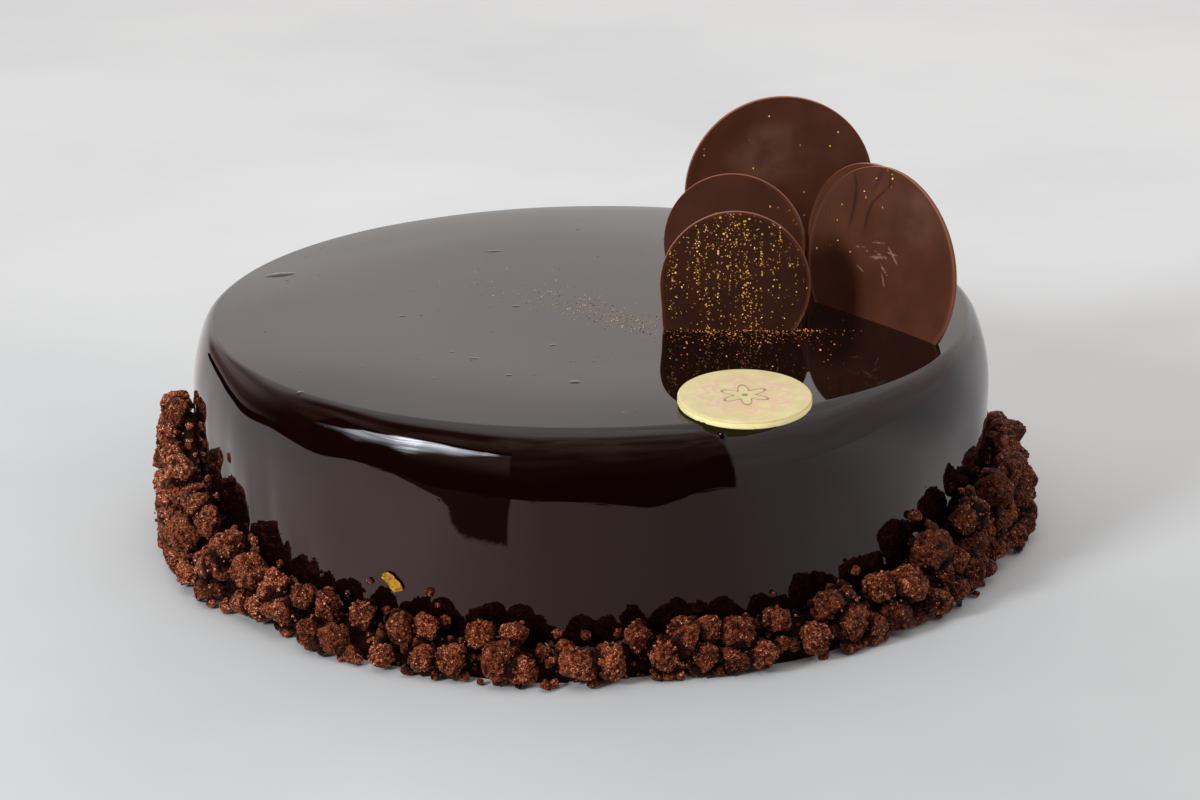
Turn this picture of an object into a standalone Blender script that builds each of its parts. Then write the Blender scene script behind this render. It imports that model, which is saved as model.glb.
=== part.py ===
"""Chocolate semifreddo cake with a mirror glaze, a ring of cocoa crumble, five dark
chocolate discs pushed into the top and one ivory chocolate plaque laid on its edge.

Units are metres, +Z is up. The origin is on the cake's axis, on its flat underside, and
-Y is the front. Azimuths are in degrees, measured from +X towards +Y.
"""
import math
import random

import bmesh
import bpy
from mathutils import Euler, Matrix, Vector

# ---- Driving dimensions -------------------------------------------------------------
GAP = 0.0003                 # clearance between pieces that touch

CAKE_RADIUS = 0.110
CAKE_HEIGHT = 0.063          # at the centre of the top
SHOULDER_IN = 0.0065         # how far the shoulder reaches in from the side
SHOULDER_DOWN = 0.019        # how far it reaches down the side
SHOULDER_ROUNDNESS = 1.8     # exponent of the shoulder's curve, 2 is an ellipse
EDGE_DROP = 0.0018           # the set glaze lies this much lower at the rim
EDGE_DROP_POWER = 5          # and falls away mostly near it
CAKE_SEGMENTS = 72
TOP_RINGS = (0.50, 0.75, 0.90, 1.0)
SHOULDER_STEPS = 7

DISC_THICKNESS = 0.0013
DISC_EDGE = 0.0002           # small chamfer round each disc's rim
DISC_SEGMENTS = 40
SMALL_DISC = 0.0200          # radius
LARGE_DISC = 0.0275
# name: radius, centre (x, y, z), yaw of the disc's face about Z and how far its top
# leans towards the face, both in degrees
DISCS = {
    "disc_left_front": (SMALL_DISC, (0.0387, -0.0300, 0.0750), -3.0, -5.0),
    "disc_left_rear": (SMALL_DISC, (0.0403, 0.0100, 0.0749), -13.2, -4.5),
    "disc_back": (LARGE_DISC, (0.0548, 0.0451, 0.0815), 7.2, 3.0),
    "disc_right_front": (LARGE_DISC, (0.0779, -0.0231, 0.0770), -50.8, -4.7),
    "disc_right_rear": (LARGE_DISC, (0.0767, -0.0149, 0.0760), -54.1, -1.6),
}
# this disc stands out of its round at one low corner: angle in its face from the
# right upwards and half width of the corner in degrees, share of the radius
DISC_CORNERS = {"disc_left_front": (218.0, 16.0, 0.15)}

PLAQUE_RADIUS = 0.01675
PLAQUE_THICKNESS = 0.0021
PLAQUE_EDGE = 0.0005
PLAQUE_CENTRE = (0.0383, -0.0893)
PLAQUE_LEAN = 4.7            # degrees it slopes down
PLAQUE_LEAN_AZIMUTH = -85.6  # direction it slopes towards

CRUMB_HEIGHT = 0.0150        # usual height of the crumble against the side
CRUMB_WIDTH = 0.0142         # usual width of the crumble on its base
CRUMB_WIDTH_WAVES = ((3, 0.0010, 0.4), (7, 0.0012, 1.9), (13, 0.0010, 4.1))
# mounds where the crumble was pressed higher: azimuth, added height, half width
CRUMB_MOUNDS = (
    (-175.0, 0.0165, 9.5),
    (-163.0, 0.0140, 22.0),
    (-92.0, -0.0038, 6.0),
    (-25.0, 0.0120, 25.0),
    (3.0, 0.0080, 14.0),
    (62.0, 0.0060, 20.0),
    (128.0, 0.0070, 24.0),
)
CORE_INSET = 0.0057          # how far the core lies inside the heap's outline
CORE_SEGMENTS = 56
CLUMP_SIZE = 0.0050          # usual radius of a clump
CLUMP_SPREAD = 0.20          # clumps are this share larger or smaller
CLUMP_STRETCH = (0.98, 0.90, 0.84)   # a clump's three widths are at least these shares
CLUMP_DENT = 0.14            # its corners lie up to this share further in
CLUMP_PITCH = 0.0099         # distance between neighbours in a row
CLUMP_STRAY = 0.34           # share of the pitch that a clump lies out of step
CLUMP_LIFT = 0.0003          # lowest point of a clump over the base
ROW_RISE = 0.0070            # usual rise from one row of clumps to the next
ROW_STRAY = 0.0011           # a clump lies this much higher or lower in its row
ROW_COUNT = 6
HEAP_ROUNDNESS = 1.7         # 1 is a straight slope from the foot to the side
CRUMB_SEED = 7


# ---- Shared steps -------------------------------------------------------------------
def clear_scene():
    for old in list(bpy.data.objects):
        bpy.data.objects.remove(old, do_unlink=True)


def make_material(name, colour, roughness, metallic=0.0):
    material = bpy.data.materials.new(name)
    material.use_nodes = True
    shader = material.node_tree.nodes["Principled BSDF"]
    shader.inputs["Base Color"].default_value = (*colour, 1.0)
    shader.inputs["Roughness"].default_value = roughness
    shader.inputs["Metallic"].default_value = metallic
    return material


def make_object(name, build_mesh, material=None):
    """Wraps a bmesh in an object, with its faces pointing out."""
    bmesh.ops.recalc_face_normals(build_mesh, faces=build_mesh.faces)
    mesh = bpy.data.meshes.new(name)
    build_mesh.to_mesh(mesh)
    build_mesh.free()
    piece = bpy.data.objects.new(name, mesh)
    bpy.context.scene.collection.objects.link(piece)
    if material:
        mesh.materials.append(material)
    return piece


def shade(piece, angle):
    piece.data.shade_smooth()
    piece.data.set_sharp_from_angle(angle=math.radians(angle))


def on_circle(radius, azimuth, height):
    """Point at a radius, an azimuth in degrees and a height."""
    turn = math.radians(azimuth)
    return Vector((radius * math.cos(turn), radius * math.sin(turn), height))


# ---- Cake ---------------------------------------------------------------------------
def glaze_height(radius):
    """Height of the glaze at a distance from the axis."""
    flat = CAKE_RADIUS - SHOULDER_IN
    height = CAKE_HEIGHT - EDGE_DROP * (radius / flat) ** EDGE_DROP_POWER
    if radius > flat:
        share = min((radius - flat) / SHOULDER_IN, 1.0)
        rest = (1.0 - share ** SHOULDER_ROUNDNESS) ** (1.0 / SHOULDER_ROUNDNESS)
        height -= SHOULDER_DOWN * (1.0 - rest)
    return height


def cake_profile():
    """Half section from the centre of the top, over the shoulder, to the base."""
    flat = CAKE_RADIUS - SHOULDER_IN
    radii = [0.0] + [flat * share for share in TOP_RINGS]
    for step in range(1, SHOULDER_STEPS + 1):
        angle = math.pi / 2 * step / SHOULDER_STEPS
        radii.append(flat + SHOULDER_IN * math.sin(angle) ** (2.0 / SHOULDER_ROUNDNESS))
    section = [Vector((radius, 0.0, glaze_height(radius))) for radius in radii]
    section.append(Vector((CAKE_RADIUS, 0.0, 0.0)))
    section.append(Vector((0.0, 0.0, 0.0)))
    return section


def make_cake(material):
    build_mesh = bmesh.new()
    ring = [build_mesh.verts.new(point) for point in cake_profile()]
    edges = [build_mesh.edges.new(pair) for pair in zip(ring, ring[1:])]
    bmesh.ops.spin(build_mesh, geom=ring + edges, cent=(0, 0, 0), axis=(0, 0, 1),
                   angle=math.tau, steps=CAKE_SEGMENTS, use_merge=True)
    bmesh.ops.remove_doubles(build_mesh, verts=build_mesh.verts, dist=0.00001)
    cake = make_object("cake", build_mesh, material)
    shade(cake, 40)
    return cake


# ---- Chocolate discs ----------------------------------------------------------------
def round_plate(radius, thickness, segments, corner=None):
    """Flat round plate lying on the XY plane, centred on its origin."""
    build_mesh = bmesh.new()
    bmesh.ops.create_cone(build_mesh, cap_ends=True, segments=segments,
                          radius1=radius, radius2=radius, depth=thickness)
    if corner:
        middle, spread, share = corner
        for vert in build_mesh.verts:
            angle = math.degrees(math.atan2(vert.co.y, vert.co.x))
            away = (angle - middle + 180.0) % 360.0 - 180.0
            reach = 1.0 + share * math.exp(-(away / spread) ** 2)
            vert.co.x *= reach
            vert.co.y *= reach
    return build_mesh


def stand_up(piece, centre, yaw, lean):
    """Turns a plate upright, with its face towards the front, leans it, then about Z."""
    piece.location = centre
    piece.rotation_euler = Euler((math.radians(90 + lean), 0.0, math.radians(yaw)))


def make_disc(name, radius, centre, yaw, lean, material):
    plate = round_plate(radius, DISC_THICKNESS, DISC_SEGMENTS, DISC_CORNERS.get(name))
    disc = make_object(name, plate, material)
    stand_up(disc, centre, yaw, lean)
    chamfer = disc.modifiers.new("rim", "BEVEL")
    chamfer.width = DISC_EDGE
    chamfer.segments = 1
    chamfer.limit_method = "ANGLE"
    shade(disc, 40)
    return disc


def cut_slot(cake, name, radius, centre, yaw, lean):
    """Slit in the cake that a disc is pushed into, one gap wider all round."""
    shape = round_plate(radius + GAP, DISC_THICKNESS + 2 * GAP, DISC_SEGMENTS,
                        DISC_CORNERS.get(name))
    cutter = make_object("cut_" + name, shape)
    stand_up(cutter, centre, yaw, lean)
    cutter.hide_render = True
    cutter.display_type = "WIRE"
    slot = cake.modifiers.new("slot_" + name, "BOOLEAN")
    slot.operation = "DIFFERENCE"
    slot.object = cutter


# ---- Plaque -------------------------------------------------------------------------
def plaque_axes():
    """Downhill and sideways directions in the plaque's plane, and its normal."""
    lean = math.radians(PLAQUE_LEAN)
    across = on_circle(1.0, PLAQUE_LEAN_AZIMUTH + 90.0, 0.0)
    downhill = on_circle(math.cos(lean), PLAQUE_LEAN_AZIMUTH, -math.sin(lean))
    return downhill, across, downhill.cross(across)


def plaque_height():
    """Height of the plaque's underside at its centre, one gap over the glaze."""
    downhill, across, _ = plaque_axes()
    needed = 0.0
    for ring in range(9):
        for spoke in range(48):
            reach = PLAQUE_RADIUS * ring / 8
            turn = math.tau * spoke / 48
            offset = reach * (math.cos(turn) * downhill + math.sin(turn) * across)
            radius = math.hypot(PLAQUE_CENTRE[0] + offset.x, PLAQUE_CENTRE[1] + offset.y)
            if radius < CAKE_RADIUS:
                needed = max(needed, glaze_height(radius) - offset.z)
    return needed + GAP


def make_plaque(material):
    shape = round_plate(PLAQUE_RADIUS, PLAQUE_THICKNESS, DISC_SEGMENTS)
    plaque = make_object("plaque", shape, material)
    downhill, across, normal = plaque_axes()
    turn = Matrix((downhill, across, normal)).transposed()
    centre = Vector((*PLAQUE_CENTRE, plaque_height())) + normal * PLAQUE_THICKNESS / 2
    plaque.matrix_world = Matrix.Translation(centre) @ turn.to_4x4()
    rounding = plaque.modifiers.new("rim", "BEVEL")
    rounding.width = PLAQUE_EDGE
    rounding.segments = 2
    rounding.limit_method = "ANGLE"
    shade(plaque, 40)
    return plaque


# ---- Crumble ------------------------------------------------------------------------
def heap_size(azimuth):
    """Height and width of the crumble at an azimuth in degrees."""
    height = CRUMB_HEIGHT
    for centre, rise, spread in CRUMB_MOUNDS:
        away = (azimuth - centre + 180.0) % 360.0 - 180.0
        height += rise * math.exp(-(away / spread) ** 2)
    width = CRUMB_WIDTH
    for waves, swing, phase in CRUMB_WIDTH_WAVES:
        width += swing * math.sin(waves * math.radians(azimuth) + phase)
    return height, width


def make_crumb_core(material):
    """Low ring under the clumps, whose section is a flat-topped heap against the side."""
    inner = CAKE_RADIUS + GAP
    section = ((0.0, 0.0), (0.0, 1.0), (0.28, 1.0), (0.82, 0.68), (1.0, 0.0))
    build_mesh = bmesh.new()
    rings = []
    for step in range(CORE_SEGMENTS):
        azimuth = 360.0 * step / CORE_SEGMENTS
        height, width = [measure - CORE_INSET for measure in heap_size(azimuth)]
        rings.append([
            build_mesh.verts.new(on_circle(inner + across * width, azimuth, up * height))
            for across, up in section])
    for here, there in zip(rings, rings[1:] + rings[:1]):
        for side in range(len(section)):
            after = (side + 1) % len(section)
            build_mesh.faces.new((here[side], here[after], there[after], there[side]))
    bmesh.ops.triangulate(build_mesh, faces=build_mesh.faces)
    return make_object("crumb_ring", build_mesh, material)


def place_clumps():
    """Centre and radius of each clump, in rows from the foot up the heap's slope."""
    draw = random.Random(CRUMB_SEED)
    count = round(math.tau * (CAKE_RADIUS + CRUMB_WIDTH / 2) / CLUMP_PITCH)
    clumps = []
    for row in range(ROW_COUNT):
        for step in range(count):
            along, lift, growth = [draw.uniform(-1.0, 1.0) for _ in range(3)]
            azimuth = 360.0 * (step + row / 2 + CLUMP_STRAY * along) / count
            height, width = heap_size(azimuth)
            last_row = round(max(height - 2 * CLUMP_SIZE, 0.0) / ROW_RISE)
            if row > last_row:
                continue
            size = CLUMP_SIZE * (1.0 + CLUMP_SPREAD * growth)
            up = row / max(last_row, 1)
            lowest = CLUMP_LIFT + size
            level = lowest + max(height - size - lowest, 0.0) * up + ROW_STRAY * lift
            nearest = size + 2 * GAP
            out = nearest + max(width - size - nearest, 0.0) * (1.0 - up ** HEAP_ROUNDNESS)
            centre = on_circle(CAKE_RADIUS + out, azimuth, max(level, lowest))
            clumps.append((centre, size))
    return clumps


def make_clump(index, centre, size, draw, collection):
    """One uneven clump of few sides, nowhere further than its size from its centre."""
    build_mesh = bmesh.new()
    bmesh.ops.create_icosphere(build_mesh, subdivisions=1, radius=size)
    turn = Euler([draw.uniform(0.0, math.tau) for _ in range(3)]).to_matrix()
    stretch = Vector([draw.uniform(least, 1.0) for least in CLUMP_STRETCH])
    for vert in build_mesh.verts:
        dent = draw.uniform(0.0, CLUMP_DENT)
        vert.co = turn @ (vert.co * stretch * (1.0 - dent)) + centre
    clump = make_object("clump_%d" % index, build_mesh)
    for holder in list(clump.users_collection):
        holder.objects.unlink(clump)
    collection.objects.link(clump)


def keep_largest_body(piece):
    """Drops loose scraps and the walls of sealed hollows, so one closed body is left."""
    build_mesh = bmesh.new()
    build_mesh.from_mesh(piece.data)
    bmesh.ops.triangulate(build_mesh, faces=build_mesh.faces)
    unseen = set(build_mesh.verts)
    bodies = []
    while unseen:
        body, front = [], [unseen.pop()]
        while front:
            vert = front.pop()
            body.append(vert)
            for edge in vert.link_edges:
                other = edge.other_vert(vert)
                if other in unseen:
                    unseen.remove(other)
                    front.append(other)
        bodies.append(body)
    bodies.sort(key=len)
    for body in bodies[:-1]:
        bmesh.ops.delete(build_mesh, geom=body, context="VERTS")
    build_mesh.to_mesh(piece.data)
    build_mesh.free()


def make_crumb_ring(material):
    ring = make_crumb_core(material)
    collection = bpy.data.collections.new("clumps")
    bpy.context.scene.collection.children.link(collection)
    draw = random.Random(CRUMB_SEED + 1)
    for index, (centre, size) in enumerate(place_clumps()):
        make_clump(index, centre, size, draw, collection)
    union = ring.modifiers.new("clumps", "BOOLEAN")
    union.operation = "UNION"
    union.operand_type = "COLLECTION"
    union.collection = collection
    union.solver = "EXACT"
    graph = bpy.context.evaluated_depsgraph_get()
    joined = bpy.data.meshes.new_from_object(ring.evaluated_get(graph))
    ring.modifiers.remove(union)
    ring.data = joined
    for clump in list(collection.objects):
        bpy.data.objects.remove(clump, do_unlink=True)
    bpy.data.collections.remove(collection)
    keep_largest_body(ring)
    return ring


# ---- The whole ----------------------------------------------------------------------
def main():
    clear_scene()
    glaze = make_material("dark_glaze", (0.013, 0.006, 0.005), 0.06)
    chocolate = make_material("dark_chocolate", (0.062, 0.022, 0.013), 0.38)
    ivory = make_material("ivory_chocolate", (0.78, 0.64, 0.33), 0.35)
    crumble = make_material("cocoa_crumble", (0.070, 0.024, 0.013), 0.80)
    cake = make_cake(glaze)
    for name, (radius, centre, yaw, lean) in DISCS.items():
        make_disc(name, radius, centre, yaw, lean, chocolate)
        cut_slot(cake, name, radius, centre, yaw, lean)
    make_plaque(ivory)
    make_crumb_ring(crumble)


main()
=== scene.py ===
import math
import random

import bmesh
import bpy
import numpy as np
from mathutils import Euler, Matrix, Vector, noise


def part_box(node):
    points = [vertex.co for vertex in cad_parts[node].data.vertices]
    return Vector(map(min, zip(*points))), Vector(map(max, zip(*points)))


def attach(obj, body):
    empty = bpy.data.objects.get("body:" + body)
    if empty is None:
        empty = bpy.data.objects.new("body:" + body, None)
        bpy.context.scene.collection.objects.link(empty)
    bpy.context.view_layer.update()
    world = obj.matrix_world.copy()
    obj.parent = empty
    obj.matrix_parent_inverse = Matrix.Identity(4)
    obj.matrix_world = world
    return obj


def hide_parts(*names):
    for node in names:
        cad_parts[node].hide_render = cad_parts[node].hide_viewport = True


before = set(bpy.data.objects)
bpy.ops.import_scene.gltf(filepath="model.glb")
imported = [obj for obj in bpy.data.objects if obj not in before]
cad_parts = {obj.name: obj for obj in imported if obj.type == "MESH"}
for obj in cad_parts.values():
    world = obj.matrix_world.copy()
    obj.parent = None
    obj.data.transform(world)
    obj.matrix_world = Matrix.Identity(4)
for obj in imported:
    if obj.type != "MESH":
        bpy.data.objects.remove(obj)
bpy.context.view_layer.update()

# ---- Camera -------------------------------------------------------------------------
# A long lens a little above the cake, which looks down on the glazed top and shows
# the whole height of the side. It is turned by less than a degree.
LENS = 90.0
AIM = Vector((0.002415, 0.0, 0.033069))
CAMERA_DISTANCE = 0.838246
CAMERA_PITCH = 0.3282        # radians it looks down
CAMERA_ROLL = -0.0121

camera_data = bpy.data.cameras.new("camera")
camera_data.lens = LENS
camera_data.sensor_width = 36.0
camera_data.clip_start = 0.01
camera = bpy.data.objects.new("camera", camera_data)
bpy.context.scene.collection.objects.link(camera)
camera_turn = Euler((math.pi / 2 - CAMERA_PITCH, 0.0, 0.0)).to_matrix()
camera_turn = camera_turn @ Matrix.Rotation(CAMERA_ROLL, 3, "Z")
camera_place = AIM + camera_turn.col[2] * CAMERA_DISTANCE
camera.matrix_world = Matrix.Translation(camera_place) @ camera_turn.to_4x4()
bpy.context.scene.camera = camera
bpy.context.scene.view_settings.view_transform = "Standard"


# ---- Table --------------------------------------------------------------------------
# A pale plastered table top with faint clouds, with painted shade that makes it a little darker towards
# the front. Mirror rays meet a painted reflection instead, in tones of its own that the glaze mirrors.
def add_node(tree, kind, inputs=None, **options):
    """Adds a node. A value in inputs is a socket to link, or the socket's own value."""
    fresh = tree.nodes.new(kind)
    for option, value in options.items():
        setattr(fresh, option, value)
    for key, value in (inputs or {}).items():
        if isinstance(value, bpy.types.NodeSocket):
            tree.links.new(value, fresh.inputs[key])
        else:
            fresh.inputs[key].default_value = value
    return fresh


def maths(tree, operation, first, second=0.0):
    return add_node(tree, "ShaderNodeMath", {0: first, 1: second},
                    operation=operation).outputs[0]


def blend_colours(tree, share, first, second, mode="MIX"):
    mixer = add_node(tree, "ShaderNodeMix", {0: share, 6: first, 7: second},
                     data_type="RGBA", blend_type=mode)
    return mixer.outputs[2]


def times(tree, colour, factor):
    """Colour multiplied by a value or by another colour."""
    return add_node(tree, "ShaderNodeVectorMath", {0: colour, 1: factor},
                    operation="MULTIPLY").outputs[0]


def fade(tree, value, start, end, low=0.0, high=1.0):
    """Goes smoothly from low to high as the value goes from start to end."""
    keys = ("Value", "From Min", "From Max", "To Min", "To Max")
    ranger = add_node(tree, "ShaderNodeMapRange",
                      dict(zip(keys, (value, start, end, low, high))),
                      interpolation_type="SMOOTHSTEP")
    return ranger.outputs[0]


def grey(level):
    return (level, level, level, 1.0)


def steps_of(tree, value, stops):
    """Colour along a value from 0 to 1, given as (place, colour) stops."""
    ramp = add_node(tree, "ShaderNodeValToRGB", {0: value})
    elements = ramp.color_ramp.elements
    while len(elements) < len(stops):
        elements.new(1.0)
    for element, (place, colour) in zip(elements, stops):
        element.position = place
        element.color = colour
    return ramp.outputs[0]


def share_of(tree, value, start, end):
    """How far a value is on its way from start to end, from 0 to 1."""
    return add_node(tree, "ShaderNodeMapRange",
                    {"Value": value, "From Min": start, "From Max": end}).outputs[0]


def noise_value(tree, place, scale, detail=2.0, roughness=0.5):
    """Soft random value from 0 to 1."""
    sockets = {"Vector": place, "Scale": scale, "Detail": detail, "Roughness": roughness}
    return add_node(tree, "ShaderNodeTexNoise", sockets).outputs[0]


def object_place(tree):
    """Place on the piece, and its x, y and z."""
    place = add_node(tree, "ShaderNodeTexCoord").outputs["Object"]
    return place, *add_node(tree, "ShaderNodeSeparateXYZ", {0: place}).outputs


def new_material(name):
    """Empty material with its tree and its output node."""
    material = bpy.data.materials.new(name)
    material.use_nodes = True
    tree = material.node_tree
    tree.nodes.clear()
    return material, tree, tree.nodes.new("ShaderNodeOutputMaterial")


def add_mesh(name, points, faces, material, smooth=True):
    """Object from lists or arrays of points and faces."""
    mesh = bpy.data.meshes.new(name)
    points = np.asarray(points, dtype=np.float32)
    if isinstance(faces, np.ndarray):
        sides = faces.shape[1]
        mesh.vertices.add(len(points))
        mesh.vertices.foreach_set("co", points.ravel())
        mesh.loops.add(faces.size)
        mesh.loops.foreach_set("vertex_index", faces.ravel().astype(np.int32))
        mesh.polygons.add(len(faces))
        mesh.polygons.foreach_set("loop_start",
                                  np.arange(0, faces.size, sides, dtype=np.int32))
        mesh.update(calc_edges=True)
    else:
        mesh.from_pydata(points.tolist(), [], faces)
    mesh.validate()
    if smooth:
        mesh.shade_smooth()
    mesh.materials.append(material)
    piece = bpy.data.objects.new(name, mesh)
    bpy.context.scene.collection.objects.link(piece)
    return piece


def new_group(name, inputs, outputs):
    """Empty shader node group, what it is given and what it gives. Sockets are (name, kind)."""
    group = bpy.data.node_groups.new(name, "ShaderNodeTree")
    for label, kind in inputs:
        group.interface.new_socket(label, in_out="INPUT", socket_type="NodeSocket" + kind)
    for label, kind in outputs:
        group.interface.new_socket(label, in_out="OUTPUT", socket_type="NodeSocket" + kind)
    given = group.nodes.new("NodeGroupInput").outputs
    return group, given, group.nodes.new("NodeGroupOutput").inputs


# two tones in soft clouds, for every mottled surface
cloud_group, given, result = new_group(
    "clouds",
    (("Place", "Vector"), ("Scale", "Float"), ("Detail", "Float"), ("Roughness", "Float"),
     ("Start", "Float"), ("End", "Float"), ("First", "Color"), ("Second", "Color")),
    (("Colour", "Color"), ("Cloud", "Float")))
cloud = noise_value(cloud_group, given["Place"], given["Scale"], given["Detail"],
                    given["Roughness"])
share = fade(cloud_group, cloud, given["Start"], given["End"])
colour = blend_colours(cloud_group, share, given["First"], given["Second"])
cloud_group.links.new(colour, result["Colour"])
cloud_group.links.new(cloud, result["Cloud"])


def clouds(tree, place, scale, detail, glint_levels, span=(0.35, 0.70), roughness=0.5):
    """The group of clouds with a material's own values: its colour and its cloud value."""
    sockets = {"Place": place, "Scale": scale, "Detail": detail, "Roughness": roughness,
               "Start": span[0], "End": span[1], "First": glint_levels[0], "Second": glint_levels[1]}
    return add_node(tree, "ShaderNodeGroup", sockets, node_tree=cloud_group).outputs


FLOOR_REACH = 4.0
FLOOR_TONE = (0.632, 0.670, 0.678, 1.0)
FLOOR_VEIN = (0.545, 0.580, 0.592, 1.0)
# painted shade: from one place to another the floor's colour goes from low to high
SHADE_AWAY = (-0.16, 0.40, 0.785, 1.06)
SHADE_ACROSS = (-0.25, 0.25, 0.97, 1.03)
# the table's edges, in the painted reflection only
TABLE_LEFT = -0.75
TABLE_FRONT = -0.290
TABLE_FRONT_SLOPE = 0.16
TABLE_FRONT_WANDER = 0.10
TABLE_ON_RIGHT = (0.777, 0.629, 0.040)   # right of this line it doesn't end
# painted reflection: the table as the glaze mirrors it: azimuth in degrees, colour
TABLE_ROUND = (
    (-180, (1.05, 0.97, 0.95)), (-150, (1.15, 0.88, 0.83)), (-125, (1.22, 0.86, 0.80)),
    (-108, (0.90, 0.62, 0.56)), (-97, (0.68, 0.46, 0.41)), (-82, (0.58, 0.41, 0.37)),
    (-66, (0.50, 0.38, 0.34)), (-54, (0.56, 0.48, 0.48)), (-35, (0.62, 0.53, 0.54)),
    (-12, (0.84, 0.76, 0.77)), (6, (0.52, 0.51, 0.51)), (90, (0.70, 0.68, 0.68)),
    (180, (1.05, 0.97, 0.95)),
)

# painted reflection: a dark wedge on the table in front of the cake to the left, as the side mirrors it:
# its near outline on the table from left to right, and the foot and slope of its straight right edge
DARK_WEDGE_OUTLINE = ((-0.360, 0.330), (-0.348, 0.323), (-0.240, 0.277), (-0.157, 0.228),
                (-0.125, 0.198), (-0.104, 0.183), (-0.089, 0.1775), (-0.070, 0.175),
                (-0.040, 0.175))
DARK_WEDGE_EDGE = (-0.054, -0.181, 0.383)
DARK_WEDGE_LEFT = (-0.65, -0.36)
DARK_WEDGE_FRAY = 0.006
DARK_WEDGE_DARKNESS = 0.93


def around_to_share(degrees):
    return (degrees + 180.0) / 360.0


floor_material, tree, output = new_material("pale_table")
place, x, y, z = object_place(tree)
tone = clouds(tree, place, 3.0, 5.0, (FLOOR_TONE, FLOOR_VEIN), (0.35, 0.75), 0.55)["Colour"]
shade = maths(tree, "MULTIPLY", fade(tree, y, *SHADE_AWAY), fade(tree, x, *SHADE_ACROSS))
tone = times(tree, tone, shade)
mirrored = steps_of(tree, share_of(tree, maths(tree, "ARCTAN2", y, x), -math.pi, math.pi),
                    [(around_to_share(angle), (*colour, 1.0)) for angle, colour in TABLE_ROUND])
share_x, share_y, off = TABLE_ON_RIGHT
past_right = maths(tree, "ADD", maths(tree, "MULTIPLY", x, share_x),
                   maths(tree, "MULTIPLY", y, share_y))
past_right = fade(tree, maths(tree, "ADD", past_right, off), -0.004, 0.004)
edge = maths(tree, "SUBTRACT", y, maths(tree, "MULTIPLY", x, TABLE_FRONT_SLOPE))
wander = maths(tree, "SUBTRACT", noise_value(tree, place, 22.0), 0.5)
edge = maths(tree, "ADD", edge, maths(tree, "MULTIPLY", wander, TABLE_FRONT_WANDER))
on_table = fade(tree, edge, TABLE_FRONT - 0.01, TABLE_FRONT + 0.01)
on_table = maths(tree, "MULTIPLY", on_table, fade(tree, x, TABLE_LEFT, TABLE_LEFT + 0.03))
on_table = maths(tree, "MAXIMUM", on_table, past_right)
mirrored = blend_colours(tree, on_table, grey(0.0), mirrored)
first, last = DARK_WEDGE_OUTLINE[0][0], DARK_WEDGE_OUTLINE[-1][0]
outline = steps_of(tree, share_of(tree, x, first, last),
                   [((across - first) / (last - first), grey(away))
                    for across, away in DARK_WEDGE_OUTLINE])
behind = maths(tree, "SUBTRACT", maths(tree, "MULTIPLY", y, -1.0), outline)
fray = maths(tree, "MULTIPLY", noise_value(tree, place, 260.0, 3.0), DARK_WEDGE_FRAY)
behind = maths(tree, "ADD", fray, behind)
foot_x, foot_y, slope = DARK_WEDGE_EDGE
edge = maths(tree, "MULTIPLY", maths(tree, "SUBTRACT", y, foot_y), slope)
edge = maths(tree, "SUBTRACT", maths(tree, "SUBTRACT", x, foot_x), edge)
# painted reflection: dark where mirror rays meet this part of the table
dark_wedge = maths(tree, "MULTIPLY", fade(tree, behind, 0.001, 0.005), fade(tree, edge, 0.002, -0.001))
dark_wedge = maths(tree, "MULTIPLY", dark_wedge, fade(tree, x, *DARK_WEDGE_LEFT))
mirrored = blend_colours(tree, maths(tree, "MULTIPLY", dark_wedge, DARK_WEDGE_DARKNESS), mirrored, grey(0.0))
shader = add_node(tree, "ShaderNodeBsdfPrincipled",
                  {"Base Color": tone, "Roughness": 0.75, "Specular IOR Level": 0.2})
# painted reflection: mirror rays meet this glow instead of the table
painted_reflection = add_node(tree, "ShaderNodeEmission", {"Color": mirrored})
is_glossy = add_node(tree, "ShaderNodeLightPath").outputs["Is Glossy Ray"]
mixed = add_node(tree, "ShaderNodeMixShader",
                 {0: is_glossy, 1: shader.outputs[0], 2: painted_reflection.outputs[0]})
tree.links.new(mixed.outputs[0], output.inputs[0])
corners = [(a * FLOOR_REACH, b * FLOOR_REACH, 0.0) for a, b in ((-1, -1), (1, -1), (1, 1), (-1, 1))]
floor = add_mesh("floor", corners, [(0, 1, 2, 3)], floor_material, smooth=False)


# ---- Room ---------------------------------------------------------------------------
# The glaze is a mirror, so what stands round the table matters: a dark room in front,
# bright above, and a pale wall behind. The camera itself meets only an even grey.
CAMERA_SKY = grey(0.66)
# the room as the glaze mirrors it: elevation in degrees, colour
FRONT_ROOM = (
    (-5, (0.0, 0.0, 0.0)), (3, (0.01, 0.0, 0.0)), (9, (0.05, 0.02, 0.02)),
    (13, (0.12, 0.06, 0.05)), (19, (0.17, 0.09, 0.07)), (24, (0.29, 0.17, 0.13)),
    (29, (0.36, 0.23, 0.19)), (42, (0.52, 0.37, 0.31)), (47, (0.78, 0.58, 0.52)),
    (54, (1.45, 1.28, 1.21)), (72, (1.70, 1.58, 1.53)), (90, (1.50, 1.44, 1.42)),
)
LEFT_ROOM = (
    (-5, (0.0, 0.0, 0.0)), (5, (0.01, 0.0, 0.0)), (12, (0.07, 0.03, 0.02)),
    (20, (0.18, 0.09, 0.07)), (26, (0.34, 0.20, 0.17)), (31, (0.26, 0.15, 0.13)),
    (34, (0.10, 0.04, 0.03)), (43, (0.12, 0.05, 0.04)), (46, (0.50, 0.37, 0.33)),
    (51, (1.10, 1.02, 0.98)), (65, (1.50, 1.42, 1.38)), (90, (1.50, 1.44, 1.42)),
)
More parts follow.
